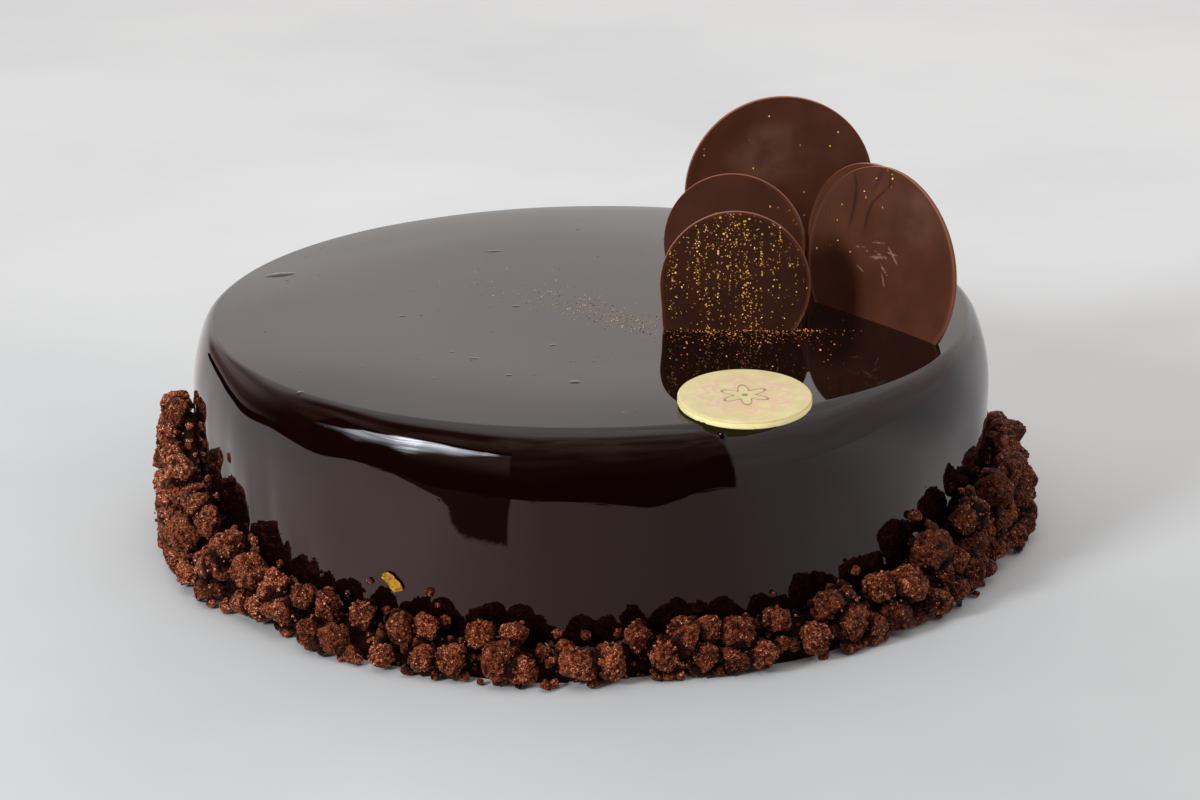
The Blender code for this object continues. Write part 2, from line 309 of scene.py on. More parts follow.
LEFT_BACK_ROOM = (
    (-5, (0.14, 0.06, 0.05)), (-3, (0.50, 0.38, 0.35)), (0, (0.62, 0.50, 0.46)),
    (3, (0.22, 0.13, 0.10)), (7, (0.30, 0.20, 0.17)), (11, (0.66, 0.54, 0.50)),
    (17, (0.68, 0.56, 0.52)), (22, (0.42, 0.31, 0.27)), (27, (0.58, 0.48, 0.45)),
    (34, (1.0, 0.93, 0.90)), (60, (1.28, 1.26, 1.25)), (90, (1.50, 1.44, 1.42)),
)
RIGHT_ROOM = (
    (-5, (0.56, 0.48, 0.50)), (5, (0.66, 0.57, 0.60)), (14, (0.76, 0.60, 0.58)),
    (25, (0.95, 0.84, 0.80)), (36, (1.4, 1.32, 1.30)), (60, (1.10, 1.12, 1.15)),
    (90, (1.05, 1.10, 1.15)),
)
BACK_WALL = (
    (-5, (0.70, 0.70, 0.70)), (8, (0.86, 0.82, 0.80)), (19, (0.93, 0.86, 0.83)),
    (30, (0.96, 0.90, 0.88)), (60, (1.15, 1.07, 1.04)), (90, (1.40, 1.34, 1.32)),
)
# each side of the room takes over from the one before it between two azimuths
ROOM_SIDES = ((FRONT_ROOM, -126.0, -108.0), (RIGHT_ROOM, -52.0, -50.0), (BACK_WALL, 30.0, 60.0),
              (LEFT_BACK_ROOM, 116.0, 128.0), (LEFT_ROOM, 146.0, 177.0))
LOWEST = -0.10               # sine of the lowest angle that the stops cover


def room_stops(stops):
    return [((math.sin(math.radians(angle)) - LOWEST) / (1.0 - LOWEST), (*colour, 1.0))
            for angle, colour in stops]


world = bpy.data.worlds.new("room")
bpy.context.scene.world = world
world.use_nodes = True
tree = world.node_tree
tree.nodes.clear()
direction = add_node(tree, "ShaderNodeTexCoord").outputs["Generated"]
x, y, z = add_node(tree, "ShaderNodeSeparateXYZ", {0: direction}).outputs
upwards = share_of(tree, z, LOWEST, 1.0)
around = maths(tree, "MULTIPLY", maths(tree, "ARCTAN2", y, x), 180.0 / math.pi)
room = steps_of(tree, upwards, room_stops(LEFT_ROOM))
for stops, start, end in ROOM_SIDES:
    room = blend_colours(tree, fade(tree, around, start, end), room,
                         steps_of(tree, upwards, room_stops(stops)))
spread = add_node(tree, "ShaderNodeCombineXYZ", {0: maths(tree, "MULTIPLY", around, 0.05),
                                                 1: maths(tree, "MULTIPLY", z, 8.0)})
blotches = noise_value(tree, spread.outputs[0], 1.0, 3.0)
low = maths(tree, "MULTIPLY", fade(tree, z, 0.78, 0.60), maths(tree, "LESS_THAN", around, -52.0))
swing = add_node(tree, "ShaderNodeMix", {0: low, 2: fade(tree, blotches, 0.36, 0.64, 0.93, 1.06),
                                         3: fade(tree, blotches, 0.36, 0.64, 0.45, 1.55)})
room = times(tree, room, swing.outputs[0])
is_camera = add_node(tree, "ShaderNodeLightPath").outputs["Is Camera Ray"]
sky = blend_colours(tree, is_camera, room, CAMERA_SKY)
backdrop = add_node(tree, "ShaderNodeBackground", {"Color": sky})
add_node(tree, "ShaderNodeOutputWorld", {0: backdrop.outputs[0]})


# ---- Window -------------------------------------------------------------------------
# A bright window on the left, which only the glaze mirrors, as a streak along the
# shoulder. Its light is uneven, and dies away below into a warm haze.
WINDOW_DISTANCE = 1.2
WINDOW_LEFT, WINDOW_RIGHT = -174.0, -110.0
WINDOW_TOP, WINDOW_BOTTOM = 23.0, 0.5
WINDOW_PANES = 14
WINDOW_LIGHT = 26.0
WINDOW_HAZE = 0.40
WINDOW_TONE = (0.92, 0.97, 1.06, 1.0)
HAZE_TONE = (1.0, 0.66, 0.55, 1.0)
SHOULDER_SPOT = (-0.045, -0.099, 0.055)  # the window's angles are seen from here
# along the window from left to right: brightness, middle and half height in degrees
WINDOW_ALONG = ((0.0, 0.0), (0.04, 0.05), (0.09, 0.12), (0.12, 0.18), (0.16, 0.22), (0.20, 0.26),
                (0.28, 0.30), (0.35, 0.34), (0.39, 0.44), (0.42, 0.62), (0.45, 0.92), (0.50, 1.05),
                (0.56, 1.0), (0.59, 0.66), (0.64, 0.66), (0.67, 0.56), (0.71, 0.40), (0.79, 0.32),
                (0.83, 0.28), (0.86, 0.46), (0.90, 0.36), (0.925, 0.22), (0.95, 0.0))
WINDOW_MIDDLE = ((0.0, 10.6), (0.09, 11.6), (0.16, 12.2), (0.20, 13.0), (0.28, 14.5),
                 (0.35, 15.8), (0.41, 16.6), (0.48, 15.6), (0.53, 14.6), (0.58, 14.6),
                 (0.64, 15.6), (0.67, 15.2), (0.71, 15.6), (0.78, 17.1), (0.83, 17.8),
                 (0.88, 18.8))
WINDOW_HALF = ((0.0, 1.2), (0.09, 2.0), (0.16, 4.4), (0.20, 5.6), (0.28, 5.2), (0.35, 5.4),
               (0.41, 6.4), (0.48, 7.4), (0.53, 7.6), (0.58, 6.6), (0.64, 4.6), (0.71, 4.0),
               (0.78, 3.0), (0.85, 2.2), (0.90, 1.4), (0.97, 0.8))
MOST_DEGREES = 30.0          # heights in degrees are kept as shares of this


def seen_from_shoulder(azimuth, elevation, distance):
    """Point in a direction given in degrees."""
    turn, rise = math.radians(azimuth), math.radians(elevation)
    way = Vector((math.cos(turn), math.sin(turn), math.tan(rise)))
    return Vector(SHOULDER_SPOT) + distance * way


window_material, tree, output = new_material("window")
corners = [seen_from_shoulder(angle, level, WINDOW_DISTANCE)
           for level in (WINDOW_BOTTOM, WINDOW_TOP)
           for angle in np.linspace(WINDOW_LEFT, WINDOW_RIGHT, WINDOW_PANES + 1)]
above = WINDOW_PANES + 1
window = add_mesh("window", corners, [(k, k + 1, above + k + 1, above + k)
                                      for k in range(WINDOW_PANES)], window_material)
window.visible_camera = False
window.visible_diffuse = False
window.visible_shadow = False
window.visible_transmission = False
place, x, y, z = object_place(tree)
from_x = maths(tree, "SUBTRACT", x, SHOULDER_SPOT[0])
from_y = maths(tree, "SUBTRACT", y, SHOULDER_SPOT[1])
along = share_of(tree, maths(tree, "ARCTAN2", from_y, from_x), math.radians(WINDOW_LEFT),
                 math.radians(WINDOW_RIGHT))
down = share_of(tree, z, corners[0].z, corners[-1].z)
level = steps_of(tree, along, [(a, grey(b)) for a, b in WINDOW_ALONG])
middle, half = [steps_of(tree, along, [(a, grey(b / MOST_DEGREES)) for a, b in line])
                for line in (WINDOW_MIDDLE, WINDOW_HALF)]
seen = add_node(tree, "ShaderNodeMapRange", {"Value": down, "To Min": WINDOW_BOTTOM / MOST_DEGREES,
                                             "To Max": WINDOW_TOP / MOST_DEGREES}).outputs[0]
off = maths(tree, "DIVIDE", maths(tree, "SUBTRACT", seen, middle), half)
core = maths(tree, "MULTIPLY", fade(tree, off, 1.1, 0.75), fade(tree, off, -1.3, 0.5))
level = maths(tree, "MULTIPLY", maths(tree, "MULTIPLY", level, core), WINDOW_LIGHT)
stretch = add_node(tree, "ShaderNodeCombineXYZ", {0: maths(tree, "MULTIPLY", along, 3.0),
                                                  1: maths(tree, "MULTIPLY", down, 26.0)})
streaks = noise_value(tree, stretch.outputs[0], 1.0, 3.0)
level = maths(tree, "MULTIPLY", level, fade(tree, streaks, 0.36, 0.62, 0.30, 1.35))
haze = maths(tree, "MULTIPLY", fade(tree, along, 0.46, 0.64), fade(tree, down, 0.0, 0.55))
haze = maths(tree, "MULTIPLY", haze, fade(tree, off, 1.1, 0.75, 0.0, WINDOW_HAZE))
tone = blend_colours(tree, fade(tree, core, 0.0, 0.12), HAZE_TONE, WINDOW_TONE)
glow = add_node(tree, "ShaderNodeEmission",
                {"Color": tone, "Strength": maths(tree, "ADD", level, haze)})
tree.links.new(glow.outputs[0], output.inputs[0])


# ---- Key light ----------------------------------------------------------------------
# One soft lamp high on the left gives the shadows to the right of the cake. The glaze
# doesn't mirror it.
KEY_PLACE = Vector((-0.794, -0.767, 0.560))
KEY_SIZE = 0.28
KEY_WATTS = 12.5
KEY_COLOUR = (0.96, 0.98, 1.02)

key_data = bpy.data.lights.new("key", "AREA")
key_data.size = KEY_SIZE
key_data.energy = KEY_WATTS
key_data.color = KEY_COLOUR
key = bpy.data.objects.new("key", key_data)
key.matrix_world = (Matrix.Translation(KEY_PLACE)
                    @ (KEY_PLACE - AIM).to_track_quat("Z", "Y").to_matrix().to_4x4())
key.visible_glossy = False
key.visible_camera = False
bpy.context.scene.collection.objects.link(key)


# ---- Glazed cake --------------------------------------------------------------------
# One frozen chocolate cream cake under a poured mirror glaze. The glaze lies level on
# top, rolls over a soft shoulder and hangs down the side in faint broad waves.
CAKE_RADIUS = 0.110
CAKE_HEIGHT = 0.063
SHOULDER_IN = 0.0065
SHOULDER_DOWN = 0.019
SHOULDER_ROUNDNESS = 1.8
EDGE_DROP = 0.0018
EDGE_DROP_POWER = 5
FLAT_RADIUS = CAKE_RADIUS - SHOULDER_IN
AROUND = 360
TOP_RINGS = 32
SHOULDER_RINGS = 52
SIDE_RINGS = 34
# faint waves of the side: how often round the cake, change with height, depth
SIDE_WAVES = ((9, 60.0, 0.00014), (16, -110.0, 0.00010), (23, 140.0, 0.00006), (37, -90.0, 0.00002))
# folds and dents of the side: azimuth, height, half width, half height, depth outwards
FOLDS = (
    (-158.0, 0.030, 0.0040, 0.018, 0.00034), (-150.0, 0.030, 0.0030, 0.015, -0.00027),
    (-144.0, 0.022, 0.0026, 0.012, 0.00054), (-139.0, 0.026, 0.0024, 0.014, -0.00041),
    (-134.5, 0.016, 0.0017, 0.009, 0.00044), (-130.5, 0.019, 0.0014, 0.007, -0.00034),
    (-127.0, 0.014, 0.0012, 0.006, 0.00027), (-120.5, 0.046, 0.0060, 0.005, 0.00012),
    (-96.0, 0.045, 0.0065, 0.005, 0.00016), (-83.0, 0.045, 0.0060, 0.004, -0.00012),
    (-62.0, 0.047, 0.0070, 0.006, 0.00010), (-44.0, 0.040, 0.0100, 0.012, 0.00015),
    (-28.0, 0.034, 0.0080, 0.016, -0.00012),
)
# faint waves of the top: direction in degrees, wavelength, depth
TOP_WAVES = ((25, 0.090, 0.00004), (100, 0.060, 0.00002), (160, 0.041, 0.000012))


def glaze_height(radius):
    """Height of the glaze at distances from the axis."""
    radius = np.asarray(radius, dtype=float)
    height = CAKE_HEIGHT - EDGE_DROP * (radius / FLAT_RADIUS) ** EDGE_DROP_POWER
    share = np.clip((radius - FLAT_RADIUS) / SHOULDER_IN, 0.0, 1.0)
    rest = (1.0 - share ** SHOULDER_ROUNDNESS) ** (1.0 / SHOULDER_ROUNDNESS)
    return height - SHOULDER_DOWN * (1.0 - rest)


def ripple(x, y):
    """How far the waves of the top raise the glaze."""
    return sum(depth * np.sin(math.tau / length * (x * math.cos(math.radians(way))
                                                   + y * math.sin(math.radians(way))))
               for way, length, depth in TOP_WAVES)


def polar_faces(rings, around):
    """Quads between rings of points, which are stored ring after ring."""
    ring, step = np.meshgrid(np.arange(rings - 1), np.arange(around), indexing="ij")
    after = (step + 1) % around
    low, high = ring * around, (ring + 1) * around
    return np.stack([low + step, high + step, high + after, low + after], -1).reshape(-1, 4)


top_radii = FLAT_RADIUS * np.sin(np.linspace(0.0, math.pi / 2, TOP_RINGS + 1))[1:] ** 1.2
sweep = np.linspace(0.0, math.pi / 2, SHOULDER_RINGS + 1)[1:]
shoulder_radii = FLAT_RADIUS + SHOULDER_IN * np.sin(sweep) ** (2.0 / SHOULDER_ROUNDNESS)
side_heights = np.linspace(float(glaze_height(CAKE_RADIUS)), 0.0, SIDE_RINGS + 1)[1:]
radii = np.concatenate([[0.0004], top_radii, shoulder_radii, np.full(SIDE_RINGS, CAKE_RADIUS),
                        [CAKE_RADIUS * 0.5, 0.0004]])
heights = np.concatenate([glaze_height(radii[:1 + TOP_RINGS + SHOULDER_RINGS]), side_heights,
                          [0.0, 0.0]])
turn = np.linspace(0.0, math.tau, AROUND, endpoint=False)
radius_grid, turn_grid = np.meshgrid(radii, turn, indexing="ij")
height_grid = np.repeat(heights[:, None], AROUND, 1)
on_side = np.clip((radius_grid - 0.100) / 0.008, 0.0, 1.0)
on_side *= np.clip(height_grid / 0.006, 0.0, 1.0)
swell = sum(depth * np.sin(often * turn_grid + climb * height_grid + often)
            for often, climb, depth in SIDE_WAVES)
for azimuth, level, wide, tall, out in FOLDS:
    off = np.angle(np.exp(1j * (turn_grid - math.radians(azimuth)))) * CAKE_RADIUS
    swell = swell + out * np.exp(-(off / wide) ** 2 - ((height_grid - level) / tall) ** 2)
radius_grid = radius_grid + swell * on_side
flat_x, flat_y = radius_grid * np.cos(turn_grid), radius_grid * np.sin(turn_grid)
on_top = np.clip((height_grid - 0.050) / 0.010, 0.0, 1.0)
height_grid = height_grid + ripple(flat_x, flat_y) * on_top
points = np.stack([flat_x, flat_y, height_grid], -1).reshape(-1, 3)
faces = polar_faces(len(radii), AROUND)
last = len(radii) * AROUND
points = np.concatenate([points, [(0, 0, CAKE_HEIGHT), (0, 0, 0)]])
caps = [(last, step, (step + 1) % AROUND) for step in range(AROUND)]
caps += [(last + 1, last - AROUND + (step + 1) % AROUND, last - AROUND + step)
         for step in range(AROUND)]

GLAZE_TONE = (0.0048, 0.0012, 0.0008, 1.0)
GLAZE_TONE_DEEP = (0.0034, 0.0008, 0.0006, 1.0)


def finish_surface(tree, output, sockets):
    """The material's shader, linked to its output. Takes sockets to link and plain values."""
    shader = add_node(tree, "ShaderNodeBsdfPrincipled", sockets)
    tree.links.new(shader.outputs[0], output.inputs[0])


glaze_material, tree, output = new_material("dark_mirror_glaze")
place = object_place(tree)[0]
tone, cloud = clouds(tree, place, 35.0, 3.0, (GLAZE_TONE, GLAZE_TONE_DEEP), (0.0, 1.0))
pits = add_node(tree, "ShaderNodeTexVoronoi", {"Vector": place, "Scale": 420.0})
rare = add_node(tree, "ShaderNodeTexWhiteNoise", {"Vector": pits.outputs["Position"]})
pit = maths(tree, "MULTIPLY", fade(tree, pits.outputs["Distance"], 0.22, 0.05),
            maths(tree, "GREATER_THAN", rare.outputs["Value"], 0.985))
level = maths(tree, "ADD", maths(tree, "MULTIPLY", pit, 0.5),
              maths(tree, "MULTIPLY", noise_value(tree, place, 90.0), 0.05))
relief = add_node(tree, "ShaderNodeBump", {"Height": level, "Strength": 0.25, "Distance": 0.0002})
finish_surface(tree, output, {"Base Color": tone, "Normal": relief.outputs[0], "IOR": 1.5,
                              "Roughness": fade(tree, cloud, 0.3, 0.7, 0.020, 0.034)})
cake = add_mesh("glazed_cake", points, faces.tolist() + caps, glaze_material)
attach(cake, "root")
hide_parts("cake")


# ---- Glaze bubbles ------------------------------------------------------------------
# Air bubbles and dust under the set glaze raise it in small domes: one long one near
# the left edge, some round ones in front of the middle, and many very small ones.
BUBBLE_RINGS = 5
BUBBLE_SIDES = 18
# centre, half length and half width, height, turn in degrees
BUBBLES = (
    (-0.0039, -0.0726, 0.0017, 0.0013, 0.00025, 0), (-0.0885, 0.0294, 0.0048, 0.0022, 0.00042, 8),
    (-0.0203, -0.0072, 0.0014, 0.0011, 0.00021, 0), (-0.0098, -0.0425, 0.0011, 0.0009, 0.00017, 0),
    (-0.0207, -0.0665, 0.0010, 0.0009, 0.00017, 0), (-0.0361, -0.0472, 0.0009, 0.0007, 0.00013, 0),
    (-0.0735, -0.0734, 0.0010, 0.0008, 0.00015, 0), (-0.0510, -0.0150, 0.0012, 0.0008, 0.00015, 10),
    (-0.0300, -0.0530, 0.0018, 0.0007, 0.00013, -12), (-0.0280, 0.0480, 0.0026, 0.0012, 0.00023, 4),
    (0.0010, -0.0560, 0.0008, 0.0006, 0.00011, 0), (0.0240, 0.0600, 0.0030, 0.0014, 0.00027, 0),
)
TINY_BUBBLES = 110
TINY_SIZES = (0.00022, 0.00055)
DOME_SHARES = np.linspace(1.0, 0.02, BUBBLE_RINGS) ** 0.7   # of its rings, from the rim inwards


def dome(across, along, long, wide, height, degrees):
    """Points of a rounded dome on the glaze, its rim just under the surface."""
    turn, lean = np.linspace(0.0, math.tau, BUBBLE_SIDES, endpoint=False), math.radians(degrees)
    rings = []
    for share in DOME_SHARES:
        local_x, local_y = long * share * np.cos(turn), wide * share * np.sin(turn)
        x = across + local_x * math.cos(lean) - local_y * math.sin(lean)
        y = along + local_x * math.sin(lean) + local_y * math.cos(lean)
        rise = height * (1.0 - share ** 2.4) - 0.00001
        rings.append(np.stack([x, y, glaze_height(np.hypot(x, y)) + rise], -1))
    return np.concatenate(rings)


def far_edge_highlight():
    """Painted highlight of a bubble: paler along its far edge."""
    turn = np.linspace(0.0, math.tau, BUBBLE_SIDES, endpoint=False)
    return np.concatenate([np.clip(np.sin(turn) * 1.3, 0.0, 1.0) * (0.3 < share < 0.95)
                           for share in DOME_SHARES])


draw = random.Random(14)
spots = list(BUBBLES)
while len(spots) < len(BUBBLES) + TINY_BUBBLES:
    across, along = draw.uniform(-0.098, 0.098), draw.uniform(-0.098, 0.080)
    if math.hypot(across, along) < 0.098:
        size = draw.uniform(*TINY_SIZES)
        spots.append((across, along, size, size * 0.9, size * draw.uniform(0.14, 0.24), 0))
points = np.concatenate([dome(*spot) for spot in spots])
points[:, 2] += ripple(points[:, 0], points[:, 1])
one = polar_faces(BUBBLE_RINGS, BUBBLE_SIDES)
faces = np.concatenate([one + index * BUBBLE_RINGS * BUBBLE_SIDES for index in range(len(spots))])
# painted highlight: the far edge of each bubble is painted paler
BUBBLE_HIGHLIGHT_TONE = (0.34, 0.22, 0.19, 1.0)


def paint(piece, layer, values):
    """Values on the points of a piece, which its material reads."""
    attribute = piece.data.attributes.new(layer, "FLOAT", "POINT")
    attribute.data.foreach_set("value", np.asarray(values, dtype=np.float32))


def painted(tree, layer):
    return add_node(tree, "ShaderNodeAttribute", attribute_name=layer).outputs["Fac"]


bubble_material, tree, output = new_material("glaze_bubble")
tone = blend_colours(tree, painted(tree, "bubble_highlight"), GLAZE_TONE, BUBBLE_HIGHLIGHT_TONE)
finish_surface(tree, output, {"Base Color": tone, "Roughness": 0.03, "IOR": 1.5})
bubbles = add_mesh("glaze_bubbles", points, faces, bubble_material)
paint(bubbles, "bubble_highlight", np.tile(far_edge_highlight(), len(spots)))
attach(bubbles, "root")


# ---- Chocolate discs ----------------------------------------------------------------
# Five thin discs of tempered dark chocolate, pushed upright into the top. Each has a
# satin face, lies a little hollow inside its rim, and its cut rim is a redder brown.
DISC_THICKNESS = 0.0013
RIM_ROUND = 0.00025
RIM_LIP = 0.00032            # width of the raised lip
FACE_DROP = 0.00007          # how far the face lies under the lip
SMALL_DISC = 0.0200
LARGE_DISC = 0.0275
# radius, centre, yaw of the face about Z and lean of the top towards it, in degrees
DISCS = {
    "disc_left_front": (SMALL_DISC, (0.0387, -0.0300, 0.0750), -3.0, -5.0),
    "disc_left_rear": (SMALL_DISC, (0.0403, 0.0100, 0.0749), -13.2, -4.5),
    "disc_back": (LARGE_DISC, (0.0548, 0.0451, 0.0815), 7.2, 3.0),
    "disc_right_front": (LARGE_DISC, (0.0779, -0.0231, 0.0770), -50.8, -4.7),
    "disc_right_rear": (LARGE_DISC, (0.0767, -0.0149, 0.0760), -54.1, -1.6),
}
# this disc stands out of its round at one low corner: angle and half width in degrees,
# share of the radius
DISC_CORNERS = {"disc_left_front": (218.0, 16.0, 0.15)}
DISC_AROUND = 160
DISC_RINGS = 24


def disc_profile(radius):
    """Radius and height over the middle plane, from the face's centre to the back's."""
    half = DISC_THICKNESS / 2
    face = [(radius * 0.002 + (radius - RIM_LIP) * share, -half + FACE_DROP)
            for share in np.linspace(0.0, 1.0, DISC_RINGS)]
    lip = [(radius - RIM_LIP * 0.55, -half)]
    edge = [(radius - RIM_ROUND * (1 - math.sin(angle)), -half + RIM_ROUND * (1 - math.cos(angle)))
            for angle in np.linspace(0.0, math.pi / 2, 7)]
    front = face + lip + edge
    back = [(across, -up) for across, up in reversed(lip + edge)]
    return front + back + [(radius * share, half) for share in (0.9, 0.6, 0.3, 0.002)]


def mark(tree, x, z, centre, size):
    """Soft round mask on a disc's face, in the disc's own coordinates."""
    off = [maths(tree, "POWER", maths(tree, "DIVIDE", maths(tree, "SUBTRACT", socket, at), reach), 2.0)
           for socket, at, reach in zip((x, z), centre, size)]
    return fade(tree, maths(tree, "ADD", *off), 1.0, 0.0)


def groove(tree, x, z, stops, strength):
    """Mask of a thin curved line, given as places across at heights on the face."""
    low, high = stops[0][0], stops[-1][0]
    middle = steps_of(tree, share_of(tree, z, low, high),
                      [((up - low) / (high - low), grey(across + 0.5)) for up, across in stops])
    off = maths(tree, "SUBTRACT", maths(tree, "ADD", x, 0.5), middle)
    line = fade(tree, maths(tree, "ABSOLUTE", off), 0.0010, 0.0001, 0.0, strength)
    return maths(tree, "MULTIPLY", line, fade(tree, z, low, low + 0.006))


def scratch(tree, x, z, frayed, start, end, width):
    """Mask of a thin frayed stroke on a disc's face."""
    along = Vector(end) - Vector(start)
    middle, length = (Vector(start) + Vector(end)) / 2, along.length
    along.normalize()
    from_x = maths(tree, "SUBTRACT", x, middle.x)
    from_z = maths(tree, "SUBTRACT", z, middle.y)
    reach = maths(tree, "ADD", maths(tree, "MULTIPLY", from_x, along.x),
                  maths(tree, "MULTIPLY", from_z, along.y))
    off = maths(tree, "SUBTRACT", maths(tree, "MULTIPLY", from_z, along.x),
                maths(tree, "MULTIPLY", from_x, along.y))
    off = maths(tree, "ADD", off, maths(tree, "MULTIPLY", maths(
        tree, "SUBTRACT", frayed, 0.5), 3.0 * width))
    reach = maths(tree, "POWER", maths(tree, "ABSOLUTE", maths(
        tree, "DIVIDE", reach, length / 2)), 3.0)
    off = maths(tree, "ABSOLUTE", maths(tree, "DIVIDE", off, width))
    return fade(tree, maths(tree, "ADD", reach, off), 1.0, 0.35)


# fine grain as relief, for chocolate of either colour
grain_group, given, result = new_group(
    "fine_grain",
    (("Place", "Vector"), ("Scale", "Float"), ("Strength", "Float"), ("Distance", "Float")),
    (("Normal", "Vector"),))
grain = noise_value(grain_group, given["Place"], given["Scale"], 3.0)
relief = add_node(grain_group, "ShaderNodeBump",
                  {"Height": grain, "Strength": given["Strength"], "Distance": given["Distance"]})
grain_group.links.new(relief.outputs[0], result["Normal"])


def fine_grain(tree, place, scale, strength, distance):
    """The group of fine grain with a material's own values."""
    sockets = {"Place": place, "Scale": scale, "Strength": strength, "Distance": distance}
    return add_node(tree, "ShaderNodeGroup", sockets, node_tree=grain_group).outputs["Normal"]


def disc_material(name, light, dark, smudge_and_sheen=None, marked=False):
    """Satin dark chocolate, redder along the rim. A pale patch is given as (centre, size, strength): a
    smudge on the back disc, a painted highlight on the marked one.
    """
    material, tree, output = new_material(name)
    place, x, y, z = object_place(tree)
    colour, cloud = clouds(tree, place, 75.0, 5.0, (light, dark), (0.34, 0.68))
    if smudge_and_sheen:
        centre, size, strength = smudge_and_sheen
        patch = maths(tree, "MULTIPLY", mark(tree, x, z, centre, size),
                      fade(tree, cloud, 0.62, 0.36, 0.2 * strength, strength))
        colour = blend_colours(tree, patch, colour, SMUDGE_AND_SHEEN_TONE)
    if marked:
        # painted shade along grooves that the face's shape doesn't have
        for stops, strength in DISC_GROOVES:
            colour = blend_colours(tree, groove(tree, x, z, stops, strength), colour, GROOVE_SHADE)
        frayed = noise_value(tree, place, 1100.0, 4.0, 0.6)
        worn = 0.0
        for start, end, width in SCUFFS:
            worn = maths(tree, "MAXIMUM", worn, scratch(tree, x, z, frayed, start, end, width))
        worn = maths(tree, "MULTIPLY", worn, fade(tree, frayed, 0.40, 0.56, 0.0, 0.8))
        colour = blend_colours(tree, worn, colour, SCUFF_TONE)
    colour = blend_colours(tree, painted(tree, "rim"), colour, RIM_TONE)
    finish_surface(tree, output, {"Base Color": colour, "IOR": 1.46, "Specular IOR Level": 0.35,
                                  "Roughness": fade(tree, cloud, 0.3, 0.75, 0.32, 0.44),
                                  "Normal": fine_grain(tree, place, 1400.0, 0.25, 0.0001)})
    return material


CHOCOLATE = (0.082, 0.027, 0.0130, 1.0)
CHOCOLATE_DEEP = (0.056, 0.0175, 0.0080, 1.0)
# darker copies of the same chocolate: painted shade for the two left discs
CHOCOLATE_HALF_SHADED = (0.060, 0.0190, 0.0088, 1.0)
CHOCOLATE_SHADED = (0.040, 0.0125, 0.0060, 1.0)
CHOCOLATE_SHADED_DEEP = (0.024, 0.0072, 0.0036, 1.0)
SMUDGE_AND_SHEEN_TONE = (0.150, 0.072, 0.052, 1.0)
RIM_TONE = (0.21, 0.068, 0.029, 1.0)
RIM_BEHIND = 0.30            # how much of it the edge has behind the face
GROOVE_SHADE = (0.026, 0.0060, 0.0020, 1.0)
SCUFF_TONE = (0.26, 0.145, 0.105, 1.0)
# grooves of the marked disc, painted as dark lines of shade: (height, place across) from the lower end
# up, and strength
DISC_GROOVES = (
    (((0.0062, -0.0129), (0.0105, -0.0123), (0.0143, -0.0113), (0.0201, -0.0108),
      (0.0235, -0.0119)), 0.75),
    (((0.0069, -0.0072), (0.0106, -0.0065), (0.0139, -0.0058), (0.0175, -0.0044),
      (0.0208, -0.0008), (0.0233, 0.0017)), 0.75),
    (((0.0181, -0.0052), (0.0215, -0.0037), (0.0248, -0.0023), (0.0270, -0.0015)), 0.5),
)
# scuffs of the marked disc: start, end and half width
SCUFFS = (((-0.0037, 0.0066), (0.0024, 0.0076), 0.00045), ((-0.0048, 0.0024), (0.0036, 0.0040), 0.0006),
          ((-0.0030, 0.0048), (0.0030, 0.0030), 0.0004), ((0.0024, 0.0070), (0.0072, 0.0020), 0.0005),
          ((0.0020, 0.0052), (0.0068, 0.0050), 0.0004), ((-0.0088, -0.0004), (-0.0052, -0.0022), 0.0004),
          ((0.0000, 0.0018), (0.0036, -0.0014), 0.0005), ((0.0010, -0.0004), (0.0026, -0.0052), 0.0004),
          ((-0.0100, 0.0042), (-0.0056, 0.0050), 0.0003))
plain_chocolate = disc_material("dark_chocolate", CHOCOLATE, CHOCOLATE_DEEP)
DISC_MATERIALS = {
    # painted shade: the two left discs take darker copies of the same chocolate
    "disc_left_front": disc_material("shaded_chocolate_dusted", CHOCOLATE_SHADED, CHOCOLATE_SHADED_DEEP),
    "disc_left_rear": disc_material("shaded_chocolate_rear", CHOCOLATE_HALF_SHADED, CHOCOLATE_SHADED),
    "disc_back": disc_material("dark_chocolate_back", CHOCOLATE, CHOCOLATE_DEEP,
                               ((-0.003, 0.011), (0.015, 0.011), 0.70)),
    # painted highlight: a pale sheen on the upper right of this disc's face
    "disc_right_front": disc_material("dark_chocolate_marked", CHOCOLATE, CHOCOLATE_DEEP,
                                      ((0.0120, 0.0165), (0.0085, 0.0095), 0.38), marked=True),
}
